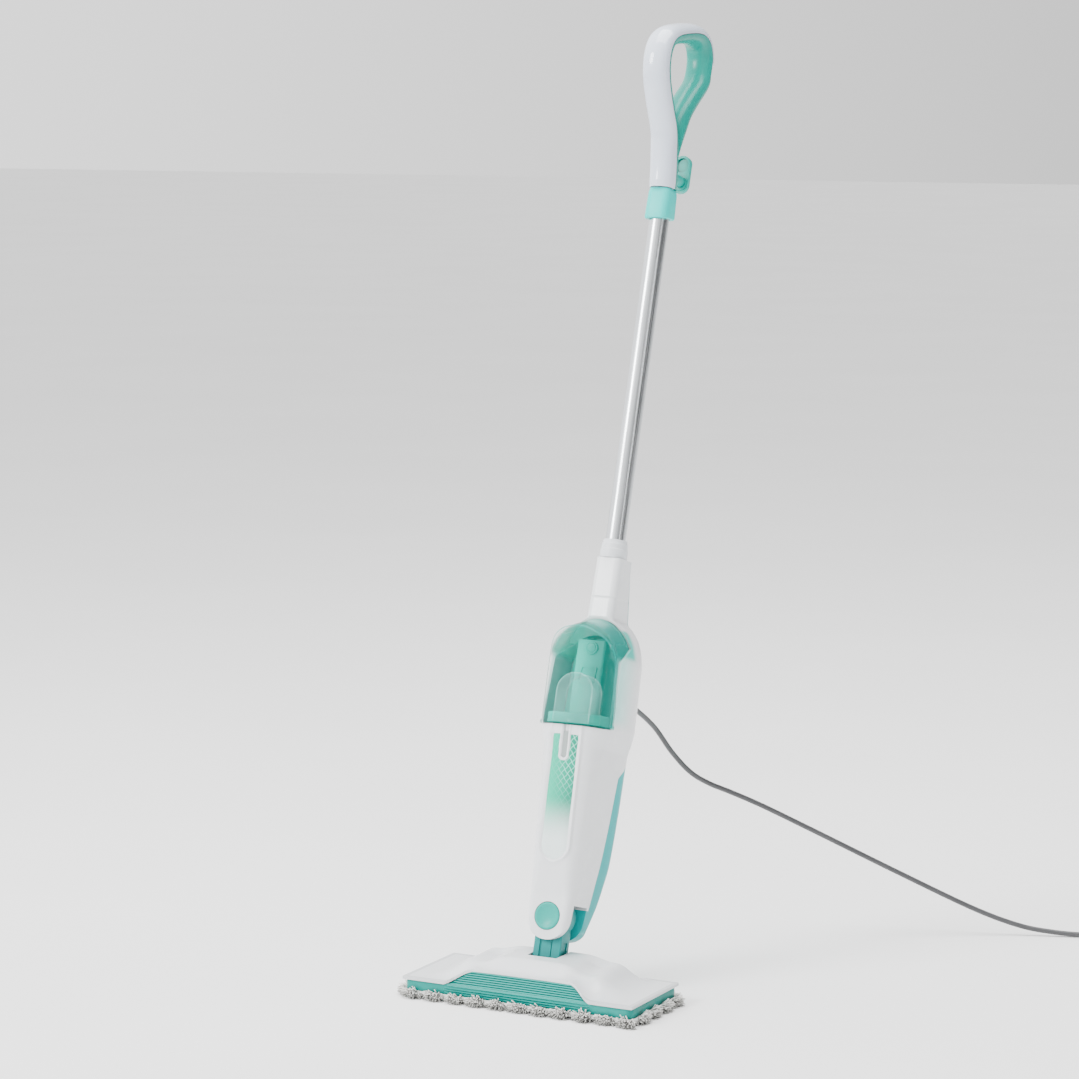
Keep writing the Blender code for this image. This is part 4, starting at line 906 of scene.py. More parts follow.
def ribbed_panel():
    """Front panel: ribs that run across it, up the skirt's front and back over the slope."""
    wall_top = SKIRT_TOP - 0.003
    wall = wall_top - (SKIRT_BASE + 0.0012)
    slope = Vector((PANEL_FRONT_TOP + HEAD_HALF_D, PANEL_TOP - wall_top))
    total = wall + slope.length
    rows, columns = RIBS * 8, 80
    grid = []
    for j in range(rows + 1):
        run = total * j / rows
        phase = RIBS * j / rows % 1.0
        proud = 0.0007 - 0.0017 * math.exp(-((phase - 0.5) / 0.14) ** 2)
        if run <= wall:
            y, z, half, out = -HEAD_HALF_D, wall_top - wall + run, PANEL_HALF_BASE, Vector((-1.0, 0.0))
        else:
            t = (run - wall) / slope.length
            y, z = -HEAD_HALF_D + slope.x * t, wall_top + slope.y * t
            half = PANEL_HALF_BASE + (PANEL_HALF_TOP - PANEL_HALF_BASE) * t
            out = Vector((-slope.y, slope.x)).normalized()
        line = []
        for i in range(columns + 1):
            x = half * (2 * i / columns - 1)
            rim = smooth_step((half - abs(x)) / 0.0030)
            bulge = 0.0008 * (1 - (x / half) ** 2)
            d = proud * rim + bulge + 0.0001
            line.append((x, y + out.x * d, z + out.y * d))
        grid.append(line)
    back = [[(x, max(y, -HEAD_HALF_D) + SKIRT_WALL, z) for x, y, z in line] for line in grid]
    return slab(grid, back)


def make_skirt():
    section = ((0.0005, SKIRT_BASE), (0.0, SKIRT_BASE + 0.0006), (0.0, SKIRT_BASE + 0.004),
               (0.0, SKIRT_TOP - 0.0008), (0.0006, SKIRT_TOP), (SKIRT_WALL, SKIRT_TOP),
               (SKIRT_WALL, SKIRT_BASE))
    skirt = to_object("skirt_band", ring_sweep(head_outline, section), WORLD)
    carve(skirt, [("UNION", ribbed_panel())])
    return dress(skirt, "teal_gloss", "head", "teal_gloss", "skirt", sharp=40)


def cover_front_edge(x):
    t = (abs(x) - PANEL_HALF_TOP) / (PANEL_HALF_BASE - PANEL_HALF_TOP)
    t = smooth_step(max(0.0, min(1.0, t))) * 0.5 + max(0.0, min(1.0, t)) * 0.5
    high_y, low_y = PANEL_FRONT_TOP + GAP, -HEAD_HALF_D + 0.0005
    high_z = PANEL_TOP + COVER_T + 2 * GAP
    return high_y + (low_y - high_y) * t, high_z + (LIP_Z - high_z) * t


def cover_height(x, y):
    """Middle platform, a shallow valley each side of it, and wings that fall to the lips."""
    front_y, front_z = cover_front_edge(x)
    deck = LIP_Z + (DECK_Z - LIP_Z) * smooth_step((0.134 - abs(x)) / 0.088)
    deck_front, deck_rear = -0.012, 0.040
    if y < deck_front:
        z = front_z + (deck - front_z) * smooth_step((y - front_y) / (deck_front - front_y))
    elif y > deck_rear:
        z = deck + (LIP_Z - deck) * smooth_step((y - deck_rear) / (HEAD_HALF_D - deck_rear))
    else:
        z = deck
    across = math.exp(-((abs(x) - 0.064) / 0.017) ** 2)
    along = smooth_step((y + 0.052) / 0.030) * smooth_step((0.052 - y) / 0.030)
    wing = math.exp(-((abs(x) - 0.088) / 0.013) ** 2)
    wing *= smooth_step((y + 0.050) / 0.060) * smooth_step((0.060 - y) / 0.018)
    return z - 0.0062 * across * along + 0.0042 * wing


def make_cover():
    """Cover with a lip that stands out over the skirt and hangs down a little."""
    columns, rows = 180, 70
    shape = bmesh.new()
    top, bottom = [], []
    for i in range(columns + 1):
        x = (HEAD_HALF_W - 0.0005) * (2 * i / columns - 1)
        front_y = cover_front_edge(x)[0]
        rear_y = HEAD_HALF_D - 0.0005
        line_top, line_bottom = [], []
        for j in range(rows + 1):
            t = j / rows
            y = front_y + (rear_y - front_y) * t
            z = cover_height(x, y)
            edge_x = math.copysign(LIP_GROW * smooth_step((abs(2 * i / columns - 1) - 0.94) / 0.06), x)
            edge_y = LIP_GROW * (smooth_step((t - 0.93) / 0.07) - smooth_step((0.07 - t) / 0.07))
            line_top.append(shape.verts.new((x + edge_x, y + edge_y, z)))
            line_bottom.append(shape.verts.new((x, y, z - COVER_T)))
        top.append(line_top)
        bottom.append(line_bottom)
    for i in range(columns):
        for j in range(rows):
            shape.faces.new((top[i][j], top[i + 1][j], top[i + 1][j + 1], top[i][j + 1]))
            shape.faces.new((bottom[i][j], bottom[i][j + 1], bottom[i + 1][j + 1], bottom[i + 1][j]))
    border = ([(i, 0) for i in range(columns)] + [(columns, j) for j in range(rows)]
              + [(i, rows) for i in range(columns, 0, -1)] + [(0, j) for j in range(rows, 0, -1)])
    drop = Vector((0, 0, -LIP_DROP))
    outer, inner = {}, {}
    for key in border:
        rim, foot = top[key[0]][key[1]].co, bottom[key[0]][key[1]].co
        outer[key] = shape.verts.new(rim + drop)
        inner[key] = shape.verts.new(foot.lerp(rim, 0.25) * Vector((1, 1, 0)) + Vector((0, 0, rim.z)) + drop)
    for here, there in zip(border, border[1:] + border[:1]):
        a, b = top[here[0]][here[1]], top[there[0]][there[1]]
        c, d = bottom[here[0]][here[1]], bottom[there[0]][there[1]]
        shape.faces.new((a, b, outer[there], outer[here]))
        shape.faces.new((outer[here], outer[there], inner[there], inner[here]))
        shape.faces.new((inner[here], inner[there], d, c))
    bmesh.ops.recalc_face_normals(shape, faces=shape.faces[:])
    cover = to_object("head_cover_shell", shape, WORLD)
    well = tapered((0.0195, 0.004, 0.002), (0.0195, 0.0575, 0.006), 6)
    carve(cover, cuts(prism(well, "Z", 0.017, 0.09)))
    bevelled(cover, 0.0007, 3, 50)
    return dress(cover, "cover_white", "head", "white_gloss", "head_cover", sharp=50)


# ---- pad ---------------------------------------------------------------------------------
def pad_outline(inset, radius=0.012):
    x, y, r = PAD_HIGH.x - inset, PAD_HIGH.y - inset, max(0.003, radius - inset)
    return rectangle(x, y, r, 8, (40, 18, 40, 18))


def make_pad():
    """Backing pad, puffed out by a short cloth simulation round a firm middle."""
    section = ((0.0105, 0.0024), (0.0075, 0.0030), (0.0065, 0.0050), (0.0065, 0.0075), (0.0075, 0.0090))
    rings = [[(x, y, z) for x, y in pad_outline(inset)] for inset, z in section]
    pocket = rectangle(HEAD_HALF_W + PAD_CLEAR, HEAD_HALF_D + PAD_CLEAR, 0.008)
    pad = to_object("pad_backing", loft(rings), WORLD)
    carve(pad, cuts(prism(pocket, "Z", PAD_FLOOR, 0.03)))
    swell(pad)
    dress(pad, "microfibre", "head", "microfibre", "floor_pad", sharp=70)
    return pad


def swell(made):
    """Remesh, inflate as cloth for ten frames, and keep each point near where it began."""
    remesh = made.modifiers.new("remesh", "REMESH")
    remesh.mode = "VOXEL"
    remesh.voxel_size = 0.0022
    keep_evaluated(made)
    start = [v.co.copy() for v in made.data.vertices]
    cloth = made.modifiers.new("cloth", "CLOTH")
    cloth.settings.use_pressure = True
    cloth.settings.uniform_pressure_force = 4.0
    cloth.settings.effector_weights.gravity = 0.0
    for number in range(1, 11):
        bpy.context.scene.frame_set(number)
    keep_evaluated(made)
    for vertex, first in zip(made.data.vertices, start):
        shift = vertex.co - first
        if shift.length > PAD_SWELL:
            shift = shift.normalized() * PAD_SWELL
        vertex.co = first + shift
        inside = abs(first.x) < HEAD_HALF_W + 0.002 and abs(first.y) < HEAD_HALF_D + 0.002
        if inside and vertex.co.z > PAD_FLOOR:
            vertex.co.z = min(vertex.co.z, max(first.z, PAD_FLOOR))
    bpy.context.scene.frame_set(1)


def noodle(shape, root, way, length, radius, curl, sides=5, joints=4):
    """One short looped yarn: a bent tapering tube with a rounded tip."""
    way = way.normalized()
    side = way.cross(Vector((0, 0, 1)))
    side = side.normalized() if side.length > 0.1 else Vector((1, 0, 0))
    up = side.cross(way)
    rings = []
    for k in range(joints + 1):
        t = k / joints
        centre = root + way * (length * t) + curl * (t * t)
        width = radius * (1.0 if t < 0.75 else 0.72)
        rings.append([shape.verts.new(centre + (side * math.cos(a) + up * math.sin(a)) * width)
                      for a in (2 * math.pi * i / sides for i in range(sides))])
    skin(shape, rings)
    tip = shape.verts.new(root + way * (length + radius * 0.6) + curl)
    for i in range(sides):
        shape.faces.new((rings[-1][i], rings[-1][(i + 1) % sides], tip))
    shape.faces.new(reversed(rings[0]))


def walk_rectangle(half_x, half_y, count):
    """Evenly spaced places round a rectangle, each with its outward direction."""
    total = 4 * (half_x + half_y)
    places = []
    for k in range(count):
        run = total * (k + 0.5) / count
        if run < 2 * half_x:
            x, y, out = -half_x + run, -half_y, (0, -1, 0)
        elif run < 2 * half_x + 2 * half_y:
            x, y, out = half_x, -half_y + run - 2 * half_x, (1, 0, 0)
        elif run < 4 * half_x + 2 * half_y:
            x, y, out = half_x - (run - 2 * half_x - 2 * half_y), half_y, (0, 1, 0)
        else:
            x, y, out = -half_x, half_y - (run - 4 * half_x - 2 * half_y), (-1, 0, 0)
        places.append((Vector((x, y, 0)), Vector(out)))
    return places


def make_tufts():
    """Clumps of yarn round the pad's edge, and flattened yarn all over its sole."""
    random.seed(11)
    shape = bmesh.new()
    for centre, out in walk_rectangle(PAD_HIGH.x - 0.0095, PAD_HIGH.y - 0.0095, CLUMPS):
        along = Vector((-out.y, out.x, 0))
        reach = random.uniform(0.92, 1.08)
        for _ in range(YARNS_PER_CLUMP):
            u = max(-0.0075, min(0.0075, random.gauss(0.0, 0.0040)))
            crown = math.sqrt(1.0 - (u / 0.0095) ** 2)
            root = centre + along * u + out * random.uniform(-0.001, 0.0015)
            root.z = random.uniform(0.0030, 0.0085)
            way = along * (u * 105 + random.gauss(0, 0.22)) + out * random.uniform(0.8, 1.3)
            way.z = random.gauss(0.18, 0.50)
            length = random.uniform(0.0085, 0.0125) * (0.55 + 0.45 * crown) * reach
            curl = Vector((random.gauss(0, 0.0008), random.gauss(0, 0.0008),
                           random.uniform(-0.0022, 0.0008)))
            noodle(shape, root, way, length, random.uniform(0.00075, 0.00105), curl)
    for centre, out in walk_rectangle(PAD_HIGH.x - 0.0080, PAD_HIGH.y - 0.0080, EDGE_YARNS):
        root = centre + Vector((0, 0, random.uniform(0.0030, 0.0060)))
        way = out * 0.5 + Vector((random.gauss(0, 0.5), random.gauss(0, 0.5), random.gauss(0.2, 0.4)))
        noodle(shape, root, way, random.uniform(0.0035, 0.0050), 0.0009, Vector((0, 0, -0.0004)), 5, 2)
    x = -PAD_HIGH.x + 0.010
    while x < PAD_HIGH.x - 0.009:
        y = -PAD_HIGH.y + 0.010
        while y < PAD_HIGH.y - 0.009:
            turn = random.uniform(0, 2 * math.pi)
            way = Vector((math.cos(turn), math.sin(turn), random.uniform(-0.12, 0.02)))
            root = Vector((x + random.uniform(-0.002, 0.002), y + random.uniform(-0.002, 0.002), 0.0026))
            noodle(shape, root, way, random.uniform(0.005, 0.008), 0.0010, Vector((0, 0, -0.0004)), 5, 2)
            y += SOLE_STEP
        x += SOLE_STEP
    for vertex in shape.verts:
        vertex.co.z = max(vertex.co.z, 0.0002)
        limit_x, limit_y = PAD_HIGH.x + 0.0075, PAD_HIGH.y + 0.0075
        vertex.co.x = max(-limit_x, min(limit_x, vertex.co.x))
        vertex.co.y = max(-limit_y, min(limit_y, vertex.co.y))
    tufts = to_object("pad_tufts", shape, WORLD)
    return dress(tufts, "microfibre", "head", "microfibre", sharp=80)


# ---- neck --------------------------------------------------------------------------------
def make_neck():
    """Block between the two hinges, with grooves in its front and bores for both axles and the tube."""
    column = rectangle(NECK_HALF_X, NECK_HALF_Y, 0.0012, 4)
    neck = to_object("neck_yoke", prism(column, "Z", -0.002, SWIVEL_Z - 0.004, 6), SHAFT)
    heel = rod(NECK_HALF_Y - 0.0002, (0, 0, 0), -NECK_HALF_X + 0.0002, NECK_HALF_X - 0.0002, "X", 64)
    low, high = -NECK_HALF_Y + 0.0002, NECK_HALF_Y - 0.0002
    disc = rounded([(0, low), (KNUCKLE_R, low), (KNUCKLE_R, high), (0, high)], 0.0012)
    knuckle = turned(disc, (0, 0, SWIVEL_Z), "Y", 96)
    grooves = [box((x - 0.0005, -0.02, 0.004), (x + 0.0005, -NECK_HALF_Y + 0.0010, 0.05))
               for x in (-0.0095, 0.0060)]
    recess = box((-0.0085, -0.02, 0.010), (0.0050, -NECK_HALF_Y + 0.0005, 0.036))
    side_slots = [box((sign * 0.0185 - 0.0016, -0.0050, 0.012), (sign * 0.0185 + 0.0016, 0.0050, 0.032))
                  for sign in (-1, 1)]
    bores = [rod(0.0033, (0, 0, 0), -0.03, 0.03, "X", 40),
             rod(SWIVEL_BORE_R, (0, 0, SWIVEL_Z), -0.03, 0.03, "Y", 48),
             rod(0.0043, (0, 0, 0), 0.001, 0.056, "Z", 32)]
    carve(neck, [("UNION", heel), ("UNION", knuckle)] + cuts(*grooves, recess, *side_slots, *bores))
    return dress(neck, "teal_satin", "neck", "teal_satin", "neck_block", sharp=35)


# ---- housing -----------------------------------------------------------------------------
BODY_SECTIONS = (
    (0.026, 0.0240, 0.0220, -0.0200, 0.0360, 0.008, 0.012),
    (0.045, 0.0265, 0.0250, -0.0215, 0.0430, 0.009, 0.013),
    (0.061, 0.0280, 0.0275, -0.0220, 0.0500, 0.009, 0.014),
    (0.083, 0.0291, 0.0308, -0.0224, 0.0588, 0.010, 0.016),
    (0.100, 0.0298, 0.0330, -0.0250, 0.0630, 0.014, 0.017),
    (0.135, 0.0315, 0.0370, -0.0295, 0.0690, 0.020, 0.019),
    (0.200, 0.0345, 0.0395, -0.0340, 0.0710, 0.026, 0.021),
    (0.262, 0.0375, 0.0435, -0.0372, 0.0695, 0.030, 0.025),
    (0.280, 0.0440, 0.0480, -0.0385, 0.0690, 0.036, 0.028),
    (0.295, 0.0488, 0.0505, -0.0390, 0.0680, 0.040, 0.030),
    (0.370, 0.0468, 0.0508, -0.0370, 0.0665, 0.038, 0.031),
    (0.390, 0.0435, 0.0465, -0.0200, 0.0655, 0.020, 0.029),
    (0.404, 0.0375, 0.0400, -0.0060, 0.0645, 0.014, 0.026),
    (0.416, 0.0270, 0.0300, 0.0005, 0.0625, 0.010, 0.020),
    (0.425, 0.0175, 0.0190, 0.0055, 0.0610, 0.008, 0.013),
    (0.460, 0.0175, 0.0175, 0.0080, 0.0555, 0.008, 0.012),
    (0.500, 0.0170, 0.0170, 0.0090, 0.0500, 0.008, 0.012),
)
REAR_SPLIT = ((SLOT_BACK_Y, 0.010), (SLOT_BACK_Y, 0.0735), (0.027, 0.0735), (0.0365, 0.181), (0.0385, 0.236),
              (0.0605, 0.258), (0.0595, 0.390), (0.050, 0.424), (0.0400, 0.510))


def u_distance(x, z, half, low, high):
    """Distance outside a shape with straight top and sides and a half-round bottom; minus inside."""
    if z < low + half:
        return math.hypot(x, z - low - half) - half
    return max(abs(x) - half, z - high)


def front_level(x, z):
    """Height of the front's details over the plain surface."""
    panel = u_distance(x, z, PANEL_HALF, PANEL_LOW, DETAILS_TOP)
    lens = u_distance(x, z, LENS_HALF, LENS_LOW, DETAILS_TOP)
    level = 0.0
    if 0 < panel < RIDGE_WIDTH:
        level = RIDGE_HEIGHT * math.sin(math.pi * panel / RIDGE_WIDTH) ** 2
    if panel <= 0 and z < PANEL_HIGH:
        level = -0.0014 * smooth_step(-panel / 0.0010)
    if lens < LENS_MARGIN + 0.0004 and z < DETAILS_TOP:
        inner = 0.0010 * math.sin(math.pi * max(0.0, lens) / (LENS_MARGIN + 0.0006)) ** 2
        level = inner if lens > 0 else -0.0024 * smooth_step(-lens / 0.0008)
    if abs(z - SEAM_Z) < SEAM_HALF:
        level -= 0.0005 * (1 - abs(z - SEAM_Z) / SEAM_HALF)
    return level


def body_outline(z, inset=0.0, fine=False):
    front_half, rear_half, front, rear, front_radius, rear_radius = smooth_row(BODY_SECTIONS, z)
    fx, rx = front_half - inset, rear_half - inset
    fy, ry = front + inset, rear - inset
    fr, rr = max(0.003, front_radius - inset), max(0.003, rear_radius - inset)
    if fine:
        return tapered((fx, fy, fr), (rx, ry, rr), (34, 34, 14, 14), (22, 10, 10, 10))
    return tapered((fx, fy, fr), (rx, ry, rr), 12, (6, 6, 6, 6))


def body_heights(low, high, fine):
    heights = []
    z = low
    while z < high - 0.0006:
        heights.append(z)
        step = 0.0012 if fine and 0.118 < z < 0.289 else 0.003
        if fine and 0.4485 < z < 0.4540:
            step = 0.0004
        z += step
    return heights + [high]


def body_solid(inset=0.0, low=0.026, high=0.500, fine=False):
    rings = []
    for z in body_heights(low, high, fine):
        outline = body_outline(z, inset, fine)
        if fine:
            total = len(outline)
            moved = []
            for i, (x, y) in enumerate(outline):
                before, after = outline[i - 1], outline[(i + 1) % total]
                out = Vector((after[1] - before[1], before[0] - after[0]))
                out = out.normalized() if out.length > 1e-9 else Vector((0, -1))
                seam = abs(z - SEAM_Z) < SEAM_HALF
                level = front_level(x, z) if out.y < -0.15 or seam else 0.0
                moved.append((x + out.x * level, y + out.y * level))
            outline = moved
        rings.append([(x, y, z) for x, y in outline])
    return loft(rings)


def rear_region(shift=0.0):
    outline = [(y - shift, z) for y, z in REAR_SPLIT] + [(0.12, 0.510), (0.12, 0.010)]
    return prism(outline, "X", -BEYOND, BEYOND)


def bare_region(shift=0.0):
    outline = [(-0.06, TANK_BASE - GAP), (-0.011 - shift, TANK_BASE - GAP), (-0.0095 - shift, 0.372),
               (0.017 - shift, 0.391), (0.0045 - shift, 0.431), (-0.06, 0.431)]
    return prism(outline, "X", -BEYOND, BEYOND)


def tank_arch(inset, floor, slope, low_y, high_y):
    rings = []
    for y in (low_y, high_y):
        top = TANK_TOP - inset + slope * (y - TANK_FRONT_Y)
        outline = arch_outline(TANK_HALF - inset, TANK_TAPER, floor, TANK_SHOULDER, top)
        rings.append([(x, y, z) for x, z in outline])
    return loft(rings)


def tank_plan(inset):
    half, front, radius = TANK_HALF - inset, TANK_FRONT_Y + inset, TANK_FRONT_R - inset
    return prism(tapered((half, front, radius), (half, TANK_BACK_Y, 0.0), 28), "Z", 0.27, 0.45)


def lower_end(low_y, high_y, radius):
    """Everything inside the housing's round foot and above it."""
    points = arc(0.0, SWIVEL_Z, radius, math.pi, 48)
    points += [(BEYOND, SWIVEL_Z), (BEYOND, 0.6), (-BEYOND, 0.6), (-BEYOND, SWIVEL_Z)]
    return prism(points, "Y", low_y, high_y)


def housing_cavity():
    """Tool for the housing's hollow, kept clear of the tank's recess."""
    cavity = to_object("cavity", body_solid(WALL, 0.100, 0.490), SHAFT)
    wall = tank_arch(TANK_INSET - WALL, TANK_BASE - WALL, 0.0, -0.05, TANK_BACK_Y + WALL)
    return carve(cavity, cuts(wall))


def make_front_shell():
    """White shell, open behind, with room for the knuckle, the tank, the tube and the button."""
    shell = to_object("housing_front", body_solid(fine=True), SHAFT)
    carve(shell, [("INTERSECT", lower_end(-0.05, 0.12, LOBE_R))] + cuts(
        rear_region(GAP),
        housing_cavity(),
        box((-BEYOND, -NECK_HALF_Y - 2 * GAP, -0.01), (BEYOND, SLOT_BACK_Y, 0.0765)),
        rod(KNUCKLE_R + 0.0015, (0, 0, SWIVEL_Z), -NECK_HALF_Y - GAP, SLOT_BACK_Y - GAP, "Y", 80),
        bare_region(),
        tank_arch(TANK_INSET - 2 * GAP, TANK_BASE - 2 * GAP, 0.0, -0.05, TANK_BACK_Y + 2 * GAP),
        rod(TUBE_R + 2 * GAP, (0, TUBE_Y, 0), 0.47, 0.52),
        rod(BUTTON_R + GAP, (0, 0, SWIVEL_Z), -0.03, -0.0140, "Y", 80),
        rod(SWIVEL_BORE_R, (0, 0, SWIVEL_Z), -0.0150, 0.036, "Y", 40),
        rod(0.0056, (-0.022, 0, 0.302), 0.030, 0.060, "Y", 32)))
    return dress(shell, "housing_white", "housing", "white_gloss", "front_shell", sharp=38)


def make_rear_cover():
    """Teal cover behind, with the lead's bore and five vents."""
    shell = to_object("housing_rear", body_solid(), SHAFT)
    bore = rod(0.0065, (0, 0, 0), -0.02, 0.03, "Z", 40)
    bore.transform(SHAFT.inverted() @ relief_matrix())
    vents = [box((-0.016, 0.0600, z), (0.016, 0.08, z + 0.0026)) for z in (0.29, 0.297, 0.304, 0.311, 0.318)]
    carve(shell, [("INTERSECT", rear_region()), ("INTERSECT", lower_end(-0.05, 0.12, LOBE_R))]
          + cuts(housing_cavity(), bore,
                 rod(SWIVEL_BORE_R, (0, 0, SWIVEL_Z), -0.0150, 0.036, "Y", 40), *vents))
    return dress(shell, "strip_teal", "housing", "teal_gloss", "rear_cover", sharp=38)


def surface_patch(name, outer, inner, half, low, high):
    """Thin plate with a U outline that follows the housing's front, from depth `outer` to `inner`."""
    columns, rows = 44, 150
    grid = []
    for j in range(rows + 1):
        z = low + (high - low) * j / rows
        reach = half
        if z < low + half:
            reach = math.sqrt(max(0.0, half ** 2 - (low + half - z) ** 2))
        reach = max(reach, half * 0.02)
        across = [reach * (2 * i / columns - 1) for i in range(columns + 1)]
        grid.append([(x, front_surface(x, z), z) for x in across])
    front, back = ([[(x, y + depth, z) for x, y, z in line] for line in grid] for depth in (outer, inner))
    return to_object(name, slab(front, back), SHAFT)


def front_surface(x, z):
    """Y of the housing's plain front face at x and z."""
    front_half, _, front, _, radius, _ = smooth_row(BODY_SECTIONS, z)
    past = abs(x) - (front_half - radius)
    if past <= 0:
        return front
    return front + radius - math.sqrt(max(0.0, radius ** 2 - min(past, radius) ** 2))


def make_panel():
    """Printed panel with a notch round the lens, and the lens."""
    panel = surface_patch("decor_plate", 0.0003, 0.0011, PANEL_HALF, PANEL_LOW, PANEL_HIGH)
    notch = LENS_HALF + LENS_MARGIN
    outline = [(notch, DETAILS_TOP), (-notch, DETAILS_TOP)]
    outline += arc(0.0, LENS_LOW + LENS_HALF, notch, math.pi, 24)
    carve(panel, cuts(prism(outline, "Y", -0.06, 0.0)))
    dress(panel, "decor_panel", "housing", "teal_clear", "decor_panel")
    lens = surface_patch("lens_strip", 0.0009, 0.0018, LENS_HALF, LENS_LOW, LENS_HIGH)
    dress(lens, "slot_grey", "housing", "light_grey", "indicator_lens")


def make_button():
    """Dished button with a raised ring, on a coil spring."""
    face = FRONT_Y - 0.0008
    profile = [(0, 0.0022), (0.006, 0.0019), (0.010, 0.0012), (0.0128, 0.0003), (0.0138, -0.0001),
               (0.0150, 0.0), (0.0160, 0.0004), (BUTTON_R, 0.0014), (BUTTON_R, 0.0060), (0.0122, 0.0060),
               (0.0122, 0.0042), (0, 0.0042)]
    cap = turned([(r, face + h) for r, h in profile], (0, 0, SWIVEL_Z), "Y", 96)
    button = to_object("button_cap", cap, SHAFT)
    dress(button, "button_mint", "button", "teal_gloss", "release_button", sharp=50)
    turns, per_turn, radius, wire = 3, 24, 0.0091, 0.0004
    low, high = -0.0188, -0.0147
    rings = []
    for k in range(turns * per_turn + 1):
        angle = 2 * math.pi * k / per_turn
        out = Vector((math.cos(angle), 0.0, math.sin(angle)))
        centre = Vector((0.0, low + (high - low) * k / (turns * per_turn), SWIVEL_Z)) + out * radius
        rings.append([centre + out * (wire * math.cos(a)) + Vector((0.0, wire * math.sin(a), 0.0))
                      for a in (2 * math.pi * i / 8 for i in range(8))])
    coil = to_object("button_coil", loft(rings), SHAFT)
    dress(coil, "steel", "housing", "steel", "button_spring", sharp=60)
    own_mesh(coil)


def make_guide():
    """Stepped collar where the tube enters the housing."""
    profile = [(TUBE_R + GAP, 0.5003), (0.0168, 0.5003), (0.0168, 0.5110), (0.0160, 0.5118), (0.0160, 0.5180),
               (0.0150, 0.5188), (0.0145, 0.5230), (TUBE_R + GAP, 0.5230)]
    shape = turned(rounded(profile, 0.0005), (0, TUBE_Y, 0), "Z", 72)
    guide = to_object("tube_collar", shape, SHAFT)
    return dress(guide, "light_grey", "housing", "light_grey", "tube_guide", sharp=40)


# ---- water tank --------------------------------------------------------------------------
def tank_lip():
    """Thick foot of the tank that stands out round its front."""
    rings = []
    for grow, z in ((0.0, 0.2893), (0.0012, 0.2899), (0.0014, 0.2925), (0.0004, 0.2945), (-0.0006, 0.2950)):
        half, front, radius = TANK_HALF + grow, TANK_FRONT_Y - grow, TANK_FRONT_R + grow
        rings.append([(x, y, z) for x, y in tapered((half, front, radius), (half, 0.02, 0.0), 28)])
    lip = to_object("lip", loft(rings), SHAFT)
    return carve(lip, [("INTERSECT", box((-BEYOND, -0.06, 0.28), (BEYOND, -0.0114, 0.30)))])


def chamber_arch(grow, base, top):
    return arch_outline(CHAMBER_HALF + grow, 0.0, base, CHAMBER_SHOULDER, top, 36, 0.002)


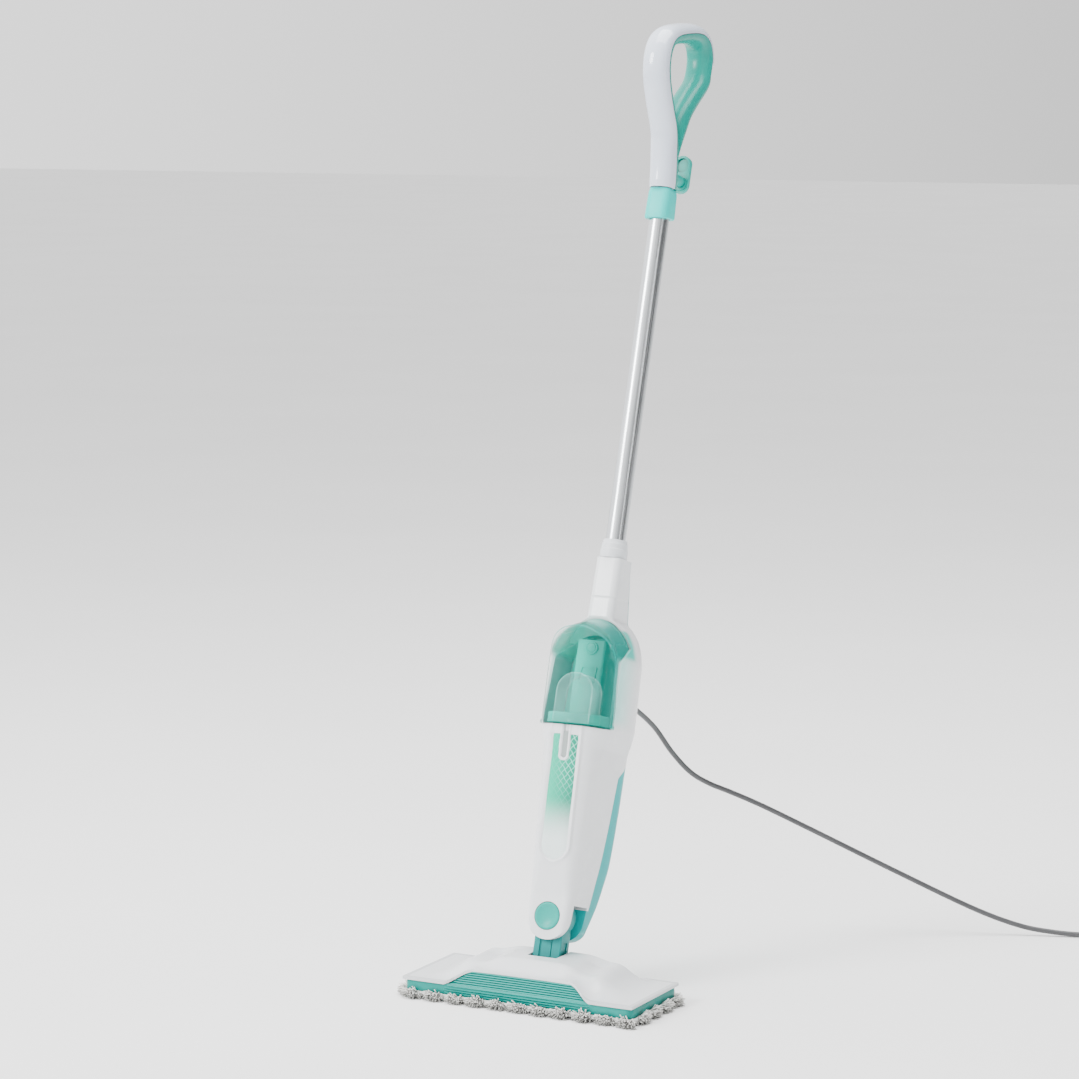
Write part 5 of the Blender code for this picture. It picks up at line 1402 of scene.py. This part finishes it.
def make_tank():
    """Clear case with a teal back, column and floor, and a small clear chamber low at its front."""
    shell = to_object("tank_case", tank_arch(0.0, TANK_BASE, TANK_RISE, -0.05, 0.03), SHAFT)
    room = to_object("room", tank_arch(TANK_WALL, TANK_BASE + TANK_WALL, TANK_RISE, -0.05, 0.03), SHAFT)
    carve(room, [("INTERSECT", tank_plan(TANK_WALL)), ("INTERSECT", bare_region(GAP + TANK_WALL))])
    carve(shell, [("INTERSECT", tank_plan(0.0)), ("INTERSECT", bare_region(GAP)),
                  ("UNION", tank_arch(TANK_INSET, TANK_BASE, 0.0, -0.0125, TANK_BACK_Y)),
                  ("UNION", tank_lip())] + cuts(
        room,
        tank_arch(TANK_INSET + TANK_WALL, TANK_BASE + TANK_WALL, 0.0, -0.016, TANK_BACK_Y + 0.01),
        rod(CAP_R + GAP, (CAP_X, CAP_Y, 0), 0.27, 0.30, "Z", 48)))
    dress(shell, "tank_clear", "tank", "clear", "tank_shell", sharp=34)

    lid = tank_arch(TANK_INSET + TANK_WALL + GAP, TANK_BASE + TANK_WALL + GAP, 0.0,
                    TANK_BACK_Y - 0.0025, TANK_BACK_Y - 0.0003)
    back = to_object("tank_rear", lid, SHAFT)
    column = tapered((0.0190, -0.003, 0.003), (0.0190, TANK_BACK_Y - 0.001, 0.0))
    channel = box((-0.0170, -0.001, TANK_BASE + TANK_WALL + 0.006), (0.0170, 0.06, 0.394))
    boss = turned(rounded([(0, -0.0052), (0.0050, -0.0052), (0.0056, -0.0044), (0.0066, -0.0044),
                           (0.0076, -0.0052), (0.0080, -0.0044), (0.0080, 0.0), (0, 0.0)], 0.0005),
                  (0.002, 0, 0.3865), "Y", 56)
    plate = fillet_outline([(-0.0125, 0.3435, 0.002), (0.0100, 0.3435, 0.002), (0.0125, 0.3640, 0.002),
                            (-0.0085, 0.3640, 0.002)], 5)
    dent = fillet_outline([(-0.0105, 0.3455, 0.0015), (0.0085, 0.3455, 0.0015), (0.0105, 0.3620, 0.0015),
                           (-0.0070, 0.3620, 0.0015)], 5)
    carve(back, [("UNION", prism(column, "Z", TANK_BASE + TANK_WALL + 0.004, 0.396)), ("DIFFERENCE", channel),
                 ("UNION", boss), ("UNION", prism(plate, "Y", -0.0046, -0.001)),
                 ("DIFFERENCE", prism(dent, "Y", -0.006, -0.0034))])
    dress(back, "tank_inner", "tank", "teal_clear", "tank_back", sharp=35)

    outer = chamber_arch(0.0, CHAMBER_BASE, CHAMBER_TOP)
    inner = chamber_arch(-0.0013, CHAMBER_BASE, CHAMBER_TOP - 0.0014)
    chamber = to_object("tank_chamber", prism(outer, "Y", -0.0310, -0.0050), SHAFT)
    carve(chamber, cuts(prism([(x, z - 0.0014) for x, z in inner], "Y", -0.0296, 0.0)))
    bevelled(chamber, 0.0010, 3, 50)
    dress(chamber, "clear_inner", "tank", "clear", sharp=40)

    base = tapered((0.0380, -0.0290, 0.020), (0.0400, -0.0045, 0.002), 12)
    floor = to_object("tank_floor", prism(base, "Z", TANK_BASE + TANK_WALL + GAP, 0.3040), SHAFT)
    carve(floor, cuts(prism(chamber_arch(0.0003, 0.2900, 0.3535), "Y", -0.0313, -0.0290)))
    bevelled(floor, 0.0008, 2, 50)
    dress(floor, "tank_inner", "tank", "teal_clear", sharp=40)


# ---- tube and handle ---------------------------------------------------------------------
GRIP_FOOT = 0.964
LOOP = ((0.0225, GRIP_FOOT), (0.0195, 0.984), (0.0130, 1.008), (0.004, 1.035), (-0.018, 1.063),
        (-0.036, 1.092), (-0.040, 1.120), (-0.028, 1.142), (0.004, 1.157), (0.042, 1.168), (0.066, 1.164),
        (0.078, 1.145), (0.076, 1.116), (0.056, 1.090), (0.037, 1.064), (0.0280, 1.040), (0.0240, 1.018),
        (0.0225, 1.000))
FINE = 4                # steps here for each step of the CAD's coarser skin
GRIP_STEPS = 33 * FINE
WHITE_END = 22 * FINE
REAR_START = 18 * FINE
GRIP_HALF_X = 0.0175
GRIP_HALF_T = 0.0125
GRIP_FOOT_R = 0.0168
ARM_END_X = 0.0150
ARM_END_T = 0.0048
COLLAR_HALF = 0.0156


def grip_frames():
    route = smooth_route([Vector((0.0, y, z)) for y, z in LOOP], 0.0012)
    places = [route[round(i * (len(route) - 1) / GRIP_STEPS)] for i in range(GRIP_STEPS + 1)]
    soft = []
    for i in range(len(places)):
        near = places[max(0, i - 2):i + 3]
        soft.append(sum(near, Vector()) / len(near) if 2 <= i < len(places) - 2 else places[i])
    frames = []
    for i, place in enumerate(soft):
        ahead = soft[min(i + 1, GRIP_STEPS)] - soft[max(i - 1, 0)] if i > 1 else Vector((0, 0, 1))
        ahead.normalize()
        frames.append((place, Vector((0.0, -ahead.z, ahead.y))))
    return frames


def grip_size(step):
    t = smooth_step(step / (6 * FINE))
    half_x = GRIP_FOOT_R + (GRIP_HALF_X - GRIP_FOOT_R) * t
    half_t = GRIP_FOOT_R + (GRIP_HALF_T - GRIP_FOOT_R) * t
    u = smooth_step((step - GRIP_STEPS + 5 * FINE) / (5 * FINE))
    return half_x + (ARM_END_X - half_x) * u, half_t + (ARM_END_T - half_t) * u


def half_ring(grip, half_x, reach, sign, shift, sides=30):
    """Half of an oval across the loop, closed by a flat towards the other half."""
    place, normal = grip
    ring = []
    for i in range(sides + 1):
        angle = math.pi * i / sides - math.pi / 2
        wide = half_x * math.sin(angle)
        deep = reach * max(0.0, math.cos(angle)) ** 0.86
        ring.append(place + normal * (sign * deep + shift) + Vector((wide, 0, 0)))
    for i in range(1, 12):
        ring.append(place + normal * shift + Vector((half_x * (1 - 2 * i / 12), 0, 0)))
    return ring


def oval_ring(grip, half_x, outer, inner, shift, sides=60):
    place, normal = grip
    ring = []
    for i in range(sides):
        angle = 2 * math.pi * i / sides
        cosine = math.cos(angle)
        reach = outer if cosine > 0 else inner
        deep = math.copysign(abs(cosine) ** 0.86, cosine) * reach
        ring.append(place + normal * (deep + shift) + Vector((half_x * math.sin(angle), 0, 0)))
    return ring


def make_grip():
    frames = grip_frames()
    seam = 0.00035
    front_rings, inner_rings, rear_rings = [], [], []
    for step, grip in enumerate(frames):
        half_x, half_t = grip_size(step)
        if step <= WHITE_END:
            foot = smooth_step((step + 0.6) / 2.5)
            lid = smooth_step((WHITE_END - step + 1.2) / 5)
            size = (0.965 + 0.035 * foot) * (0.80 + 0.20 * lid)
            front_rings.append(half_ring(grip, half_x * size, half_t * size, 1, seam))
        if step <= REAR_START + FINE:
            foot = 0.965 + 0.035 * smooth_step((step + 0.6) / 2.5)
            inner_rings.append(half_ring(grip, half_x * foot, half_t * foot, -1, -seam))
        if step >= REAR_START:
            rise = smooth_step((step - WHITE_END) / 3)
            outer = max(half_t * rise, 0.00001)
            tuck = 0.0008 * (1 - smooth_step((step - REAR_START) / FINE))
            rear_rings.append(oval_ring(grip, half_x - tuck, outer, half_t - tuck, -seam - tuck))
    front = to_object("grip_front", loft(front_rings), SHAFT)
    dress(front, "grip_white", "handle", "white_gloss", "handle_front", sharp=50)
    rear = to_object("grip_rear", loft(inner_rings), SHAFT)
    hook_bore = rod(HOOK_BORE_R, (0, 0, 0.985), 0.026, 0.060, "Y", 28)
    carve(rear, [("UNION", loft(rear_rings)), ("DIFFERENCE", hook_bore)])
    dress(rear, "grip_teal", "handle", "teal_gloss", "handle_rear", sharp=50)


def make_tube_and_collar():
    profile = [(TUBE_R - 0.0012, 0.455), (TUBE_R, 0.455), (TUBE_R, 0.950), (TUBE_R - 0.0012, 0.950)]
    tube = to_object("steel_tube", turned(profile, (0, TUBE_Y, 0), "Z", 96), SHAFT)
    dress(tube, "aluminium", "handle", "aluminium", "shaft_tube")

    rings = []
    stations = ((0.9258, 0.95), (0.9264, 1.0), (0.9285, 1.02), (0.9420, 1.0), (0.9570, 0.98), (0.9590, 0.97),
                (0.9612, 0.94), (0.9636, 0.92))
    for z, size in stations:
        half = COLLAR_HALF * size
        outline = rectangle(half, half, 0.0085)
        slant = max(0.0, (0.945 - z) / 0.02)
        rings.append([(x, TUBE_Y + y, z + 0.10 * slant * (y + 0.4 * x)) for x, y in outline])
    collar = to_object("grip_collar", loft(rings), SHAFT)
    carve(collar, cuts(rod(TUBE_R + GAP, (0, TUBE_Y, 0), 0.91, 0.9510)))
    bevelled(collar, 0.0005, 2, 50)
    dress(collar, "mint", "handle", "teal_gloss", "handle_collar", sharp=40)


def make_hook():
    """Turning cord hook: plate with a recess above a round boss, on a stem."""
    low_y, thick = 0.0665, 0.0060
    half, low, high, middle = 0.0110, 0.971, 1.019, 0.985
    def capsule(reach, base, top):
        return arc(0.0, top - reach, reach, 0.0, 32) + arc(0.0, base + reach, reach, math.pi, 32)
    hook = to_object("hook_plate", prism(capsule(half, low, high), "Y", low_y, low_y + thick, 2), SHAFT)
    pocket = capsule(half - 0.0032, 0.9975, high - 0.0030)
    disc = rounded([(0, -0.0012), (0.0082, -0.0012), (0.0088, -0.0004), (0.0088, 0.001), (0, 0.001)], 0.0005)
    carve(hook, [("DIFFERENCE", prism(pocket, "Y", low_y - 0.01, low_y + 0.0028)),
                 ("DIFFERENCE", prism(pocket, "Y", low_y + thick - 0.0012, low_y + 0.02)),
                 ("UNION", turned(disc, (0, low_y, middle - 0.0025), "Y", 48)),
                 ("UNION", rod(0.0070, (0, 0, middle), 0.0395, low_y + 0.002, "Y", 48)),
                 ("DIFFERENCE", rod(HOOK_BORE_R, (0, 0, middle), 0.03, low_y + 0.0025, "Y", 28))])
    bevelled(hook, 0.0008, 3, 50)
    dress(hook, "button_mint", "hook", "teal_gloss", "cord_hook", sharp=40)


# ---- carried-over CAD nodes --------------------------------------------------------------
NODE_FINISHES = {
    "teal_satin": "base_plate",
    "hook_fabric": "hook_strip_front hook_strip_rear",
    "light_grey": "axle_bracket_left axle_bracket_right pump_body tank_socket",
    "brass": "axle_bush_left axle_bush_right thermal_fuse steam_pipe plug_blade_1 plug_blade_2",
    "steel": "tilt_axle swivel_pin hook_pin thermostat pump_rod head_post_1 head_post_2 head_post_3 "
             "head_post_4 cover_screw_1 cover_screw_2 cover_screw_3 cover_screw_4",
    "silicone": "steam_manifold neck_steam_tube boiler_hose",
    "aluminium": "boiler",
    "black_plastic": "terminal_block tank_valve",
    "black_rubber": "pump_piston",
    "button_mint": "filler_cap",
}


def finish_nodes():
    for finish, names in NODE_FINISHES.items():
        for name in names.split():
            node = frame["nodes"][name]
            if not node.material_slots:
                node.data.materials.append(None)
            for place in node.material_slots:
                place.material = MATERIALS[finish]


# ---- floor and light ---------------------------------------------------------------------
FLOOR_HALF = 30.0
DIM_SIDE = (0.884, 0.467, 0.0)      # direction in which the surroundings get darker


def make_stage():
    shape = bmesh.new()
    corners = [shape.verts.new((x * FLOOR_HALF, y * FLOOR_HALF, 0.0))
               for x, y in ((-1, -1), (1, -1), (1, 1), (-1, 1))]
    shape.faces.new(corners)
    floor = to_object("floor", shape, WORLD)
    s = Shader("pale_floor")
    tone = s.mix(s.span(s.noise(1.5, 3), 0.3, 0.7), srgb(250, 250, 250), srgb(253, 253, 253))
    s.set(Base_Color=tone, Roughness=0.85)
    floor.data.materials.append(s.material)

    w = Shader("studio", world=True)
    aim = w.node("ShaderNodeVectorMath", {0: w.where, 1: DIM_SIDE}, operation="DOT_PRODUCT").outputs["Value"]
    w.set(Strength=w.span(aim, -0.80, 0.80, 2.5, 0.22), Color=(1.0, 1.0, 1.0, 1.0))
    bpy.context.scene.world = w.material

    for name, place, target, width, height, power in (
            ("key", (-1.8, -2.2, 2.3), (0.0, 0.05, 0.5), 0.9, 1.2, 95.0),
            ("top", (0.1, 0.4, 3.6), (0.1, 0.2, 0.0), 2.6, 2.6, 190.0),
            ("strip", (2.2, -0.6, 1.0), (0.0, 0.1, 0.6), 0.25, 1.8, 6.0)):
        light = bpy.data.lights.new(name, "AREA")
        light.shape = "RECTANGLE"
        light.size, light.size_y = width, height
        light.energy = power
        lamp = bpy.data.objects.new(name, light)
        bpy.context.scene.collection.objects.link(lamp)
        lamp.location = place
        lamp.rotation_euler = (Vector(target) - Vector(place)).to_track_quat("-Z", "Y").to_euler()


make_camera()
make_stage()
cord, cord_exit = make_cord()
relief = make_relief()
plug = make_plug()
tie = make_tie()
for make in (make_skirt, make_cover, make_pad, make_tufts, make_neck, make_front_shell, make_rear_cover,
             make_panel, make_button, make_guide, make_tank, make_grip, make_tube_and_collar, make_hook):
    make()
finish_nodes()
